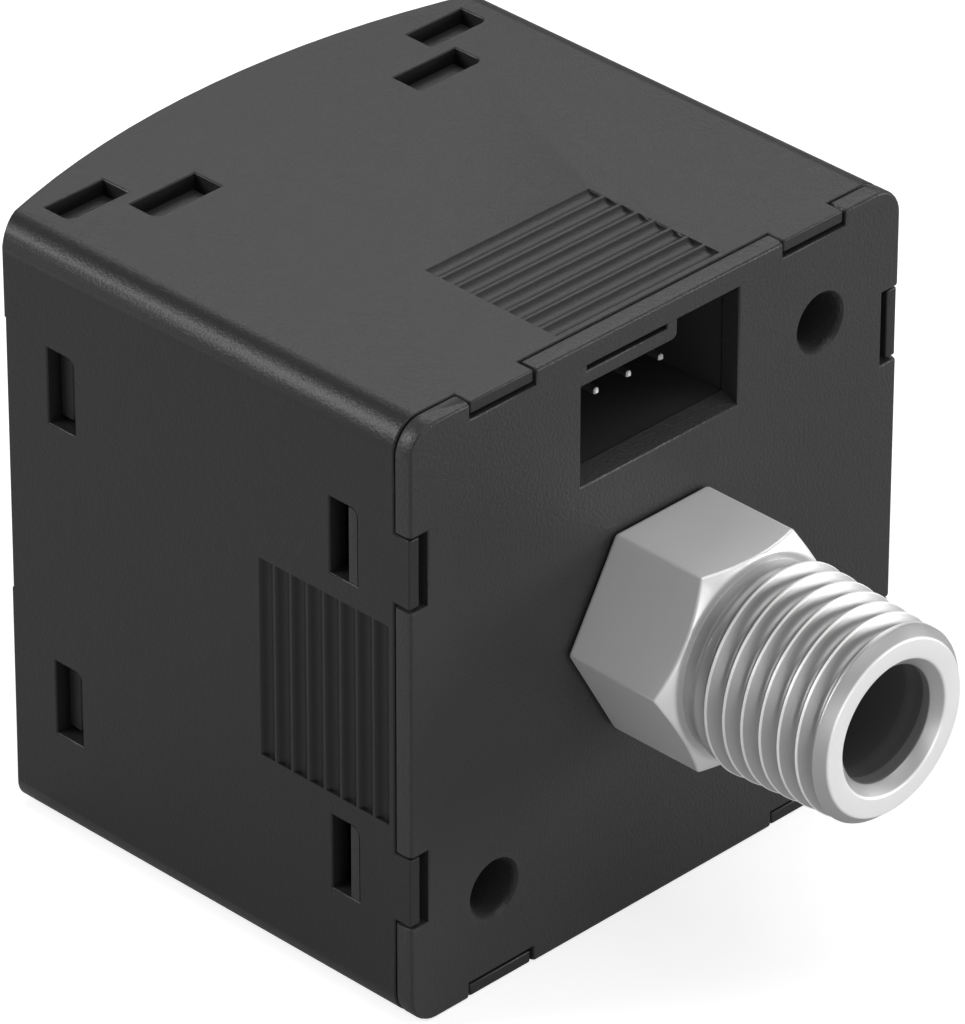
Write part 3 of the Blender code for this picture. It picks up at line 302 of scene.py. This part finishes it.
def moulded_plastic(name, level, grain, depth, roughness, shade_troughs=False):
    """Dark moulded plastic with a spark-eroded grain of this size and depth; on request,
    painted shade darkens the troughs of the side grooves.
    """
    material, graph, shader = new_material(name)
    fine = graph.noise(grain, 2.0, 0.6)
    broad = graph.noise(9 * grain, 2.0, 0.5)
    cloud = graph.noise(6 * MM, 2.0, 0.5)
    height = fine + broad * 0.6
    share = graph.clamp(fine * 0.5 + cloud * 0.5)
    colour = graph.mix_colour(share, grey(level * 0.90, 0.02), grey(level * 1.10, 0.04))
    if shade_troughs:
        # painted shade: the troughs of the side grooves are darkened
        colour = graph.mix_colour(painted_trough_shade(graph), colour, grey(level * TROUGH_SHADE_TONE))
    feed(
        graph,
        shader,
        Base_Color=colour,
        Roughness=graph.clamp(roughness - 0.06 + fine * 0.12),
        Normal=graph.bump(height, depth),
        Specular_IOR_Level=0.3,
    )
    return material


def plain_plastic(name, colour, roughness):
    """Smooth moulded plastic with faint flow marks."""
    material, graph, shader = new_material(name)
    flow = graph.noise(1.2 * MM, 3.0, 0.5)
    feed(
        graph,
        shader,
        Base_Color=graph.mix_colour(flow, shade(colour, 0.9), shade(colour)),
        Roughness=graph.clamp(roughness - 0.05 + flow * 0.1),
        Normal=graph.bump(graph.noise(0.15 * MM), 0.004 * MM),
    )
    return material


def turned_steel(name, level, roughness):
    """Satin turned metal with fine tool marks, a painted highlight along the thread's crests,
    painted shade in the thread's roots, and painted shade that deepens into the bore.
    """
    material, graph, shader = new_material(name)
    x, y, z = graph.axes()
    off_axis = (x ** 2.0 + (z - PORT_Z) ** 2.0) ** 0.5
    depth = REAR_Y + PORT_END - y
    height = PORT_END - depth
    # painted shade that deepens into the bore
    in_bore = graph.ease(off_axis, BORE_RADIUS + 0.3 * MM, BORE_RADIUS + 0.1 * MM)
    bore = in_bore * graph.ease(depth, 0.3 * MM, 2.5 * MM)
    start = graph.ease(height, THREAD_START, THREAD_START + THREAD_RUN_IN)
    thread = start * graph.ease(height, THREAD_END, THREAD_END - THREAD_RUN_OUT)
    turn = graph.maths("ARCTAN2", z - PORT_Z, x) / (2 * math.pi)
    along = graph.maths("FRACT", (height - THREAD_BASE) / THREAD_PITCH + turn)
    crest = CREST_RADIUS - CREST_FALL * (height - THREAD_START)
    sunk = crest - off_axis
    # painted highlight: the thread's crests are lighter and less metallic
    painted_crest_highlight = thread * graph.ease(sunk, 0.05 * MM, 0.01 * MM)
    # painted shade on the thread's inward flanks and in its roots
    painted_root_shade = thread * graph.ease(along, 0.10, 0.85) * graph.ease(sunk, 0.02 * MM, 0.15 * MM)
    marks = graph.noise(0.10 * MM, 3.0, 0.6, (0.05, 1.0, 0.05))
    stain = graph.noise(2.5 * MM, 3.0, 0.5)
    share = graph.clamp(stain * 0.6 + marks * 0.4)
    tone = graph.mix_colour(share, grey(level * 0.95), grey(level * 1.02))
    face = graph.ease(height, PORT_END - 0.10 * MM, PORT_END - 0.02 * MM)
    shaft = graph.ease(height, HEX_LENGTH - 0.1 * MM, HEX_LENGTH + 0.1 * MM) * (1.0 - face)
    for part, level in (
        (shaft, SHAFT_TONE),
        (painted_root_shade, ROOT_SHADE_TONE),
        (bore, BORE_SHADE_TONE),
        (painted_crest_highlight, CREST_HIGHLIGHT_TONE),
    ):
        tone = graph.mix_colour(part, tone, grey(level))
    feed(
        graph,
        shader,
        Base_Color=tone,
        Metallic=graph.clamp(0.42 + shaft * 0.28 - painted_crest_highlight * 0.5),
        Roughness=graph.clamp(roughness - 0.05 + shaft * 0.04 + stain * 0.05 + marks * 0.06),
        Normal=graph.bump(marks, 0.0015 * MM),
    )
    return material


def plated_metal(name, colour, roughness):
    """Plated or stamped small metal parts."""
    material, graph, shader = new_material(name)
    wear = graph.noise(0.3 * MM, 3.0, 0.6)
    feed(
        graph,
        shader,
        Base_Color=graph.mix_colour(wear, shade(colour, 0.85), shade(colour)),
        Metallic=1.0,
        Roughness=graph.clamp(roughness - 0.04 + wear * 0.1),
        Normal=graph.bump(wear, 0.002 * MM),
    )
    return material


def tinned_pin(name, roughness):
    """Dull tinned pin with a painted highlight: its tip is brighter and less metallic."""
    material, graph, shader = new_material(name)
    # painted highlight on the pins' tips
    tip = graph.ease(graph.axes()[1], PIN_END - 0.11 * MM, PIN_END - 0.05 * MM)
    wear = graph.noise(0.3 * MM, 3.0, 0.6)
    feed(
        graph,
        shader,
        Base_Color=graph.mix_colour(tip, grey(0.70), grey(0.98)),
        Metallic=graph.clamp(1.0 - tip * 0.7),
        Roughness=graph.clamp(roughness - 0.04 + wear * 0.1),
        Normal=graph.bump(wear, 0.002 * MM),
    )
    return material


def circuit_board(name):
    """Green solder resist over faint tracks."""
    material, graph, shader = new_material(name)
    tracks = graph.noise(0.8 * MM, 0.0, 0.5, (1.0, 1.0, 0.25))
    share = graph.clamp((tracks - 0.48) * 30.0)
    feed(
        graph,
        shader,
        Base_Color=graph.mix_colour(share, (0.012, 0.09, 0.035, 1), (0.02, 0.14, 0.06, 1)),
        Roughness=graph.clamp(0.38 + tracks * 0.1),
        Normal=graph.bump(share, 0.02 * MM),
    )
    return material


def smoked_pane(name):
    """Dark polished pane with a slightly lighter field over the display."""
    material, graph, shader = new_material(name)
    x, _, z = graph.axes()
    low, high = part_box("display_module")
    border = 0.6 * MM
    edge = 0.05 * MM
    half = (high.x - low.x) / 2 - border
    rise = (high.z - low.z) / 2 - border
    middle = (high.z + low.z) / 2
    field = graph.clamp((half - abs(x)) / edge) * graph.clamp((rise - abs(z - middle)) / edge)
    haze = graph.noise(3 * MM, 2.0, 0.5)
    feed(
        graph,
        shader,
        Base_Color=graph.mix_colour(field, (0.006, 0.006, 0.007, 1), (0.030, 0.034, 0.032, 1)),
        Roughness=graph.clamp(0.07 + haze * 0.04),
        Normal=graph.bump(haze, 0.003 * MM),
        Coat_Weight=0.6,
        Coat_Roughness=0.03,
    )
    return material


MATERIALS = {
    "housing": moulded_plastic("housing_grain", 0.020, 0.13 * MM, 0.020 * MM, 0.38, True),
    "rear_cover": moulded_plastic("cover_grain", 0.032, 0.16 * MM, 0.034 * MM, 0.38),
    "front_frame": moulded_plastic("frame_grain", 0.020, 0.13 * MM, 0.018 * MM, 0.38),
    "key": moulded_plastic("key_grain", 0.13, 0.12 * MM, 0.012 * MM, 0.50),
    "steel": turned_steel("turned_steel", 0.95, 0.38),
    "spring": plated_metal("spring_steel", (0.45, 0.45, 0.44), 0.35),
    "tin": tinned_pin("tinned_pins", 0.30),
    "gold": plated_metal("gilded_pins", (0.75, 0.58, 0.28), 0.25),
    "tin_case": plated_metal("switch_cases", (0.5, 0.5, 0.48), 0.35),
    "header": plain_plastic("header_black", (0.036, 0.037, 0.036), 0.5),
    "chip": plain_plastic("chip_black", (0.018, 0.018, 0.019), 0.55),
    "rubber": plain_plastic("seal_rubber", (0.02, 0.02, 0.02), 0.75),
    "ceramic": plain_plastic("capsule_ceramic", (0.75, 0.74, 0.71), 0.35),
    "guide": plain_plastic("guide_clear", (0.80, 0.81, 0.83), 0.15),
    "display": plain_plastic("display_glass", (0.05, 0.055, 0.05), 0.12),
    "board": circuit_board("board_green"),
    "pane": smoked_pane("smoked_pane"),
}

CAD_FINISHES = {
    "front_frame": "front_frame",
    "port_seal": "rubber",
    "port_clip": "spring",
    "sensor_capsule": "ceramic",
    "sensor_board": "board",
    "main_board": "board",
    "amplifier_chip": "chip",
    "processor_chip": "chip",
    "link_spacer": "header",
    "connector_header": "header",
    "light_guide": "guide",
    "display_module": "display",
}


def finish_of(node):
    """The finish of a CAD node that stays as it is."""
    if node.startswith("link_pin"):
        return "gold"
    if node.startswith("switch_plunger"):
        return "chip"
    if node.startswith("switch"):
        return "tin_case"
    return CAD_FINISHES.get(node)


def paint(obj, finish):
    obj.data.materials.clear()
    obj.data.materials.append(MATERIALS[finish])


def paint_cad_nodes():
    for name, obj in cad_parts.items():
        finish = finish_of(name)
        if finish:
            paint(obj, finish)


# Mesh helpers


def new_object(name, mesh):
    obj = bpy.data.objects.new(name, mesh)
    bpy.context.scene.collection.objects.link(obj)
    return obj


def settled(obj):
    """The object with its modifiers made part of its mesh."""
    graph = bpy.context.evaluated_depsgraph_get()
    mesh = bpy.data.meshes.new_from_object(obj.evaluated_get(graph))
    obj.modifiers.clear()
    obj.data = mesh
    return obj


def joined(name, parts):
    """One object that holds the parts' meshes, with their own shading."""
    bpy.ops.object.select_all(action="DESELECT")
    for part in parts:
        part.select_set(True)
    bpy.context.view_layer.objects.active = parts[0]
    bpy.ops.object.join()
    parts[0].name = name
    return parts[0]


def meshed(work, name):
    """A new object with the mesh that was worked on."""
    mesh = bpy.data.meshes.new(name)
    work.to_mesh(mesh)
    work.free()
    return new_object(name, mesh)


def add_piece(obj, node, body, finish):
    """Puts a finished piece in the place of its CAD node."""
    paint(obj, finish)
    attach(obj, body)
    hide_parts(node)


def merged_copy(node, name):
    """A copy of a CAD node whose loose triangles are joined into plain faces."""
    work = bmesh.new()
    work.from_mesh(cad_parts[node].data)
    bmesh.ops.remove_doubles(work, verts=work.verts, dist=MERGE)
    bmesh.ops.dissolve_limit(work, angle_limit=rad(FLAT_ANGLE), verts=work.verts, edges=work.edges)
    return meshed(work, name)


def mark_edges(obj, chosen, angle=EDGE_ANGLE):
    """Gives a full bevel weight to each outward edge that chosen() accepts."""
    work = bmesh.new()
    work.from_mesh(obj.data)
    weight = work.edges.layers.float.new("bevel_weight_edge")
    for edge in work.edges:
        if len(edge.link_faces) != 2:
            continue
        if edge.calc_face_angle_signed() > rad(angle) and chosen(edge):
            edge[weight] = 1.0
    work.to_mesh(obj.data)
    work.free()


def smooth(obj):
    """Smooths the shading between sharp edges and keeps large flat faces flat."""
    obj.data.shade_smooth()
    obj.data.set_sharp_from_angle(angle=rad(SHARP_ANGLE))
    normals = obj.modifiers.new("Normals", "WEIGHTED_NORMAL")
    normals.keep_sharp = True
    settled(obj)


def ease_edges(obj, width, segments=2):
    """Rounds the marked edges."""
    bevel = obj.modifiers.new("Ease", "BEVEL")
    bevel.limit_method = "WEIGHT"
    bevel.width = width
    bevel.segments = segments
    bevel.use_clamp_overlap = False
    smooth(settled(obj))


def on_outside(point):
    """True for a point on the body's outer faces."""
    return (
        abs(abs(point.x) - HALF_WIDTH) < ON_FACE
        or point.z < ON_FACE
        or point.z > TOP - ON_FACE
        or point.y > REAR_Y - ON_FACE
    )


def in_grooves(point):
    """True for a point in the fields of grip grooves."""
    aside = min(abs(point.x), abs(point.z - PORT_Z))
    return aside < GROOVE_REACH and GROOVE_FIRST < REAR_Y - point.y < GROOVE_FIELD[2]


def make_housing():
    """The moulded sleeve, with its outer and rear edges rounded."""
    shell = merged_copy("housing", "housing_shell")

    def chosen(edge):
        ends = [vertex.co for vertex in edge.verts]
        outside = all(on_outside(end) for end in ends)
        rear = all(end.y > REAR_Y - REAR_EDGES for end in ends)
        return (outside or rear) and not all(in_grooves(end) for end in ends)

    mark_edges(shell, chosen)
    ease_edges(shell, SHELL_ROUND)
    add_piece(shell, "housing", "sensor", "housing")


def make_cover():
    """The rear cover, with the edges of its outer face rounded."""
    cover = merged_copy("rear_cover", "rear_cover_plate")

    def chosen(edge):
        return all(vertex.co.y > REAR_Y - COVER_EDGES for vertex in edge.verts)

    mark_edges(cover, chosen)
    ease_edges(cover, SHELL_ROUND)
    add_piece(cover, "rear_cover", "sensor", "rear_cover")


def make_pins():
    """The socket's pins, narrower towards their tips."""
    for number in range(1, 5):
        node = f"contact_pin_{number}"
        pin = merged_copy(node, f"socket_pin_{number}")
        low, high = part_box(node)
        middle = (low + high) / 2
        for vertex in pin.data.vertices:
            if vertex.co.y > high.y - PIN_TIP:
                vertex.co.x += (1 - PIN_TIP_SHARE) * (middle.x - vertex.co.x)
                vertex.co.z += (1 - PIN_TIP_SHARE) * (middle.z - vertex.co.z)
        add_piece(pin, node, "sensor", "tin")


def make_front():
    """Pane and keys of the display side."""
    for node, name, body, finish, width in (
        ("display_window", "display_pane", "sensor", "pane", PANE_ROUND),
        ("key_left", "left_key_cap", "key_left", "key", KEY_ROUND),
        ("key_centre", "centre_key_cap", "key_centre", "key", KEY_ROUND),
        ("key_right", "right_key_cap", "key_right", "key", KEY_ROUND),
    ):
        piece = merged_copy(node, name)
        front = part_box(node)[0].y + FRONT_EDGES

        def chosen(edge):
            return all(vertex.co.y < front for vertex in edge.verts)

        mark_edges(piece, chosen)
        ease_edges(piece, width, 3)
        add_piece(piece, node, body, finish)


# Port


def thread_tree():
    """Nodes that wind a grid into a tapered thread, with its crests along the rows."""
    tree = bpy.data.node_groups.new("tapered_thread", "GeometryNodeTree")
    for name in ("Pitch", "Base", "Start", "End", "Run In", "Run Out", "Depth", "Radius", "Fall"):
        tree.interface.new_socket(name=name, in_out="INPUT", socket_type="NodeSocketFloat")
    for name in ("Steps", "Rows"):
        tree.interface.new_socket(name=name, in_out="INPUT", socket_type="NodeSocketInt")
    tree.interface.new_socket(name="Geometry", in_out="OUTPUT", socket_type="NodeSocketGeometry")
    graph = Graph(tree)
    entry = tree.nodes.new("NodeGroupInput")
    given = {socket.name: Term(graph, socket) for socket in entry.outputs if socket.name}
    pitch = given["Pitch"]
    start = given["Start"]
    end = given["End"]
    counts = {"Size X": 1.0, "Size Y": 1.0, "Vertices X": given["Steps"], "Vertices Y": given["Rows"]}
    grid = graph.add("GeometryNodeMeshGrid", None, counts)
    split = graph.add("ShaderNodeSeparateXYZ", None, {0: graph.add("GeometryNodeInputPosition")})
    turn = split.output(0) + 0.5
    angle = turn * (2 * math.pi)
    row = (split.output(1) + 0.5) * (given["Rows"] - 1.0) * (pitch / PITCH_ROWS)
    height = graph.clamp(given["Base"] + row - pitch * turn, start, end)
    along = height - given["Base"] + pitch * turn
    slope = graph.maths("PINGPONG", along, pitch / 2) / (pitch / 2)
    ridge = (1.0 - graph.clamp(slope - CREST_FLAT) / (1.0 - CREST_FLAT)) ** 2.0
    run_in = graph.ease(height, start, start + given["Run In"])
    run_out = graph.ease(height, end, end - given["Run Out"])
    crest = given["Radius"] - given["Fall"] * (height - start)
    radius = crest - given["Depth"] * run_out * (1.0 - ridge * run_in)
    place = graph.add(
        "ShaderNodeCombineXYZ",
        None,
        {
            0: radius * graph.maths("COSINE", angle),
            1: height + REAR_Y,
            2: radius * graph.maths("SINE", angle) + PORT_Z,
        },
    )
    wound = graph.add("GeometryNodeSetPosition", None, {0: grid, 2: place})
    merged = graph.add("GeometryNodeMergeByDistance", None, {0: wound, "Distance": MERGE})
    plain = graph.add("GeometryNodeRealizeInstances", None, {0: merged})
    painted = graph.add("GeometryNodeSetMaterial", None, {0: plain, 2: MATERIALS["steel"]})
    leave = tree.nodes.new("NodeGroupOutput")
    tree.links.new(painted.socket, leave.inputs[0])
    return tree


def wound_thread():
    """The thread's mesh, between the plain rings at THREAD_START and THREAD_END."""
    obj = new_object("thread", bpy.data.meshes.new("thread"))
    modifier = obj.modifiers.new("Thread", "NODES")
    modifier.node_group = thread_tree()
    values = {
        "Pitch": THREAD_PITCH,
        "Base": THREAD_BASE,
        "Start": THREAD_START,
        "End": THREAD_END,
        "Run In": THREAD_RUN_IN,
        "Run Out": THREAD_RUN_OUT,
        "Depth": THREAD_DEPTH,
        "Radius": CREST_RADIUS,
        "Fall": CREST_FALL,
        "Steps": ROUND_STEPS + 1,
        "Rows": THREAD_TURNS * PITCH_ROWS + 1,
    }
    for socket in modifier.node_group.interface.items_tree:
        if socket.name in values:
            modifier[socket.identifier] = values[socket.name]
    mesh = settled(obj).data
    bpy.data.objects.remove(obj)
    return mesh


def crest_radius(height):
    return CREST_RADIUS - CREST_FALL * (height - THREAD_START)


def eased(points, width):
    """The outline with each corner between its ends cut to three short steps."""
    found = [points[0]]
    for before, corner, after in zip(points, points[1:], points[2:]):
        here = Vector(corner)
        back = Vector(before) - here
        ahead = Vector(after) - here
        reach = min(width, back.length / 2.5, ahead.length / 2.5)
        first = here + back.normalized() * reach
        last = here + ahead.normalized() * reach
        for share in (0.0, 0.33, 0.67, 1.0):
            arc = first.lerp(here, share).lerp(here.lerp(last, share), share)
            found.append(tuple(arc))
    found.append(points[-1])
    return found


def turn_profile(work, profile):
    """Adds rings of faces for an outline of (radius, height) pairs."""
    rings = []
    for radius, height in profile:
        ring = []
        for step in range(ROUND_STEPS):
            angle = 2 * math.pi * step / ROUND_STEPS
            point = (radius * math.cos(angle), REAR_Y + height, PORT_Z + radius * math.sin(angle))
            ring.append(work.verts.new(point))
        rings.append(ring)
    join_rings(work, rings)


def join_rings(work, rings):
    for low, high in zip(rings, rings[1:]):
        for step in range(ROUND_STEPS):
            after = (step + 1) % ROUND_STEPS
            work.faces.new((low[step], high[step], high[after], low[after]))


def shaft_profiles():
    """Outlines of the turned surfaces before and after the thread."""
    clip_near, clip_far, clip_radius = CLIP_GROOVE
    seal_inner, seal_outer, seal_depth = SEAL_GROOVE
    collar = crest_radius(THREAD_START) - THREAD_DEPTH
    inner = [
        (DUCT_RADIUS, -SHANK_END),
        (seal_inner, -SHANK_END),
        (seal_inner, seal_depth - SHANK_END),
        (seal_outer, seal_depth - SHANK_END),
        (seal_outer, -SHANK_END),
        (SHANK_RADIUS, -SHANK_END),
        (SHANK_RADIUS, -clip_far),
        (clip_radius, -clip_far),
        (clip_radius, -clip_near),
        (SHANK_RADIUS, -clip_near),
        (SHANK_RADIUS, HEX_LENGTH / 2),
        (collar, HEX_LENGTH / 2),
        (collar, THREAD_START),
    ]
    outer = [
        (crest_radius(THREAD_END), THREAD_END),
        (END_RADIUS, PORT_END),
        (COUNTERSINK_RADIUS, PORT_END),
        (BORE_RADIUS, PORT_END - COUNTERSINK_RADIUS + BORE_RADIUS),
        (BORE_RADIUS, BORE_FLOOR + BORE_RADIUS - DUCT_RADIUS),
        (DUCT_RADIUS, BORE_FLOOR),
        (DUCT_RADIUS, -SHANK_END),
    ]
    return eased(inner, SHANK_ROUND), eased(outer, END_ROUND)


def add_hexagon(work):
    """Adds the hexagon: its chamfer turned, so that it meets the flats in curves."""
    flats = HEX_FLATS / 2
    slope = math.tan(rad(HEX_SLOPE))
    start = flats - HEX_RIM
    rings = [[] for _ in range(6)]
    for step in range(ROUND_STEPS):
        angle = 360.0 * step / ROUND_STEPS
        rim = flats / math.cos(rad(angle % 60 - 30))
        levels = (
            (SHANK_RADIUS, HEX_BASE),
            (rim - HEX_RIM, HEX_BASE),
            (rim, HEX_BASE + HEX_RIM),
            (rim, HEX_LENGTH - (rim - start) * slope),
            (start, HEX_LENGTH),
            (SHANK_RADIUS, HEX_LENGTH),
        )
        for ring, (radius, height) in zip(rings, levels):
            point = (
                radius * math.cos(rad(angle)),
                REAR_Y + height,
                PORT_Z + radius * math.sin(rad(angle)),
            )
            ring.append(work.verts.new(point))
    join_rings(work, rings)


def make_port():
    """The threaded metal port, in one piece."""
    work = bmesh.new()
    work.from_mesh(wound_thread())
    for profile in shaft_profiles():
        turn_profile(work, profile)
    bmesh.ops.remove_doubles(work, verts=work.verts, dist=10 * MERGE)
    bmesh.ops.recalc_face_normals(work, faces=work.faces)
    shaft = meshed(work, "shaft")
    smooth(shaft)
    work = bmesh.new()
    add_hexagon(work)
    bmesh.ops.recalc_face_normals(work, faces=work.faces)
    hexagon = meshed(work, "hexagon")
    mark_edges(hexagon, lambda edge: True, HEX_EDGE_ANGLE)
    ease_edges(hexagon, HEX_ROUND, 3)
    port = joined("threaded_port", (shaft, hexagon))
    add_piece(port, "port_fitting", "sensor", "steel")


make_housing()
make_cover()
make_pins()
make_front()
make_port()
paint_cad_nodes()


# Studio


def make_floor():
    """A pale floor that keeps the shadow and is as white as the backdrop to the camera."""
    work = bmesh.new()
    bmesh.ops.create_grid(work, x_segments=1, y_segments=1, size=FLOOR_SIZE / 2)
    floor = meshed(work, "floor")
    floor.location.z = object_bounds()[0].z - FLOOR_DROP
    material, graph, shader = new_material("pale_floor")
    cloud = graph.noise(0.4, 2.0, 0.5)
    feed(
        graph,
        shader,
        Base_Color=graph.mix_colour(cloud, grey(0.50), grey(0.52)),
        Roughness=0.9,
        Specular_IOR_Level=0.2,
        Emission_Color=graph.mix_colour(graph.seen(), grey(0), grey(1)),
        Emission_Strength=FLOOR_GLOW,
    )
    floor.data.materials.append(material)


def add_softbox(name, place, width, height, power):
    """A soft rectangle of light that faces the object."""
    lamp = bpy.data.lights.new(name, "AREA")
    lamp.shape = "RECTANGLE"
    lamp.size = width
    lamp.size_y = height
    lamp.energy = power
    obj = bpy.data.objects.new(name, lamp)
    obj.location = place
    obj.rotation_euler = (Vector(MIDDLE) - obj.location).to_track_quat("-Z", "Y").to_euler()
    bpy.context.scene.collection.objects.link(obj)


def make_world():
    """Dim even light all round, with a white backdrop for the camera alone."""
    world = bpy.data.worlds.new("studio")
    world.use_nodes = True
    bpy.context.scene.world = world
    graph = Graph(world.node_tree)
    background = world.node_tree.nodes["Background"]
    colour = graph.mix_colour(graph.seen(), grey(AMBIENT), grey(1))
    world.node_tree.links.new(colour.socket, background.inputs["Color"])
    background.inputs["Strength"].default_value = 1.0


def make_camera():
    """The photograph's camera."""
    camera = bpy.data.cameras.new("photo_camera")
    camera.sensor_width = SENSOR
    camera.lens = CAMERA_FOCUS * SENSOR / PHOTO_HEIGHT
    camera.clip_start = 0.01
    camera.clip_end = 20.0
    obj = bpy.data.objects.new("photo_camera", camera)
    obj.location = CAMERA_PLACE
    obj.rotation_euler = Euler([rad(angle) for angle in CAMERA_TURN])
    bpy.context.scene.collection.objects.link(obj)
    bpy.context.scene.camera = obj


make_floor()
for softbox in SOFTBOXES:
    add_softbox(*softbox)
make_world()
make_camera()
bpy.context.scene.view_settings.view_transform = "Standard"
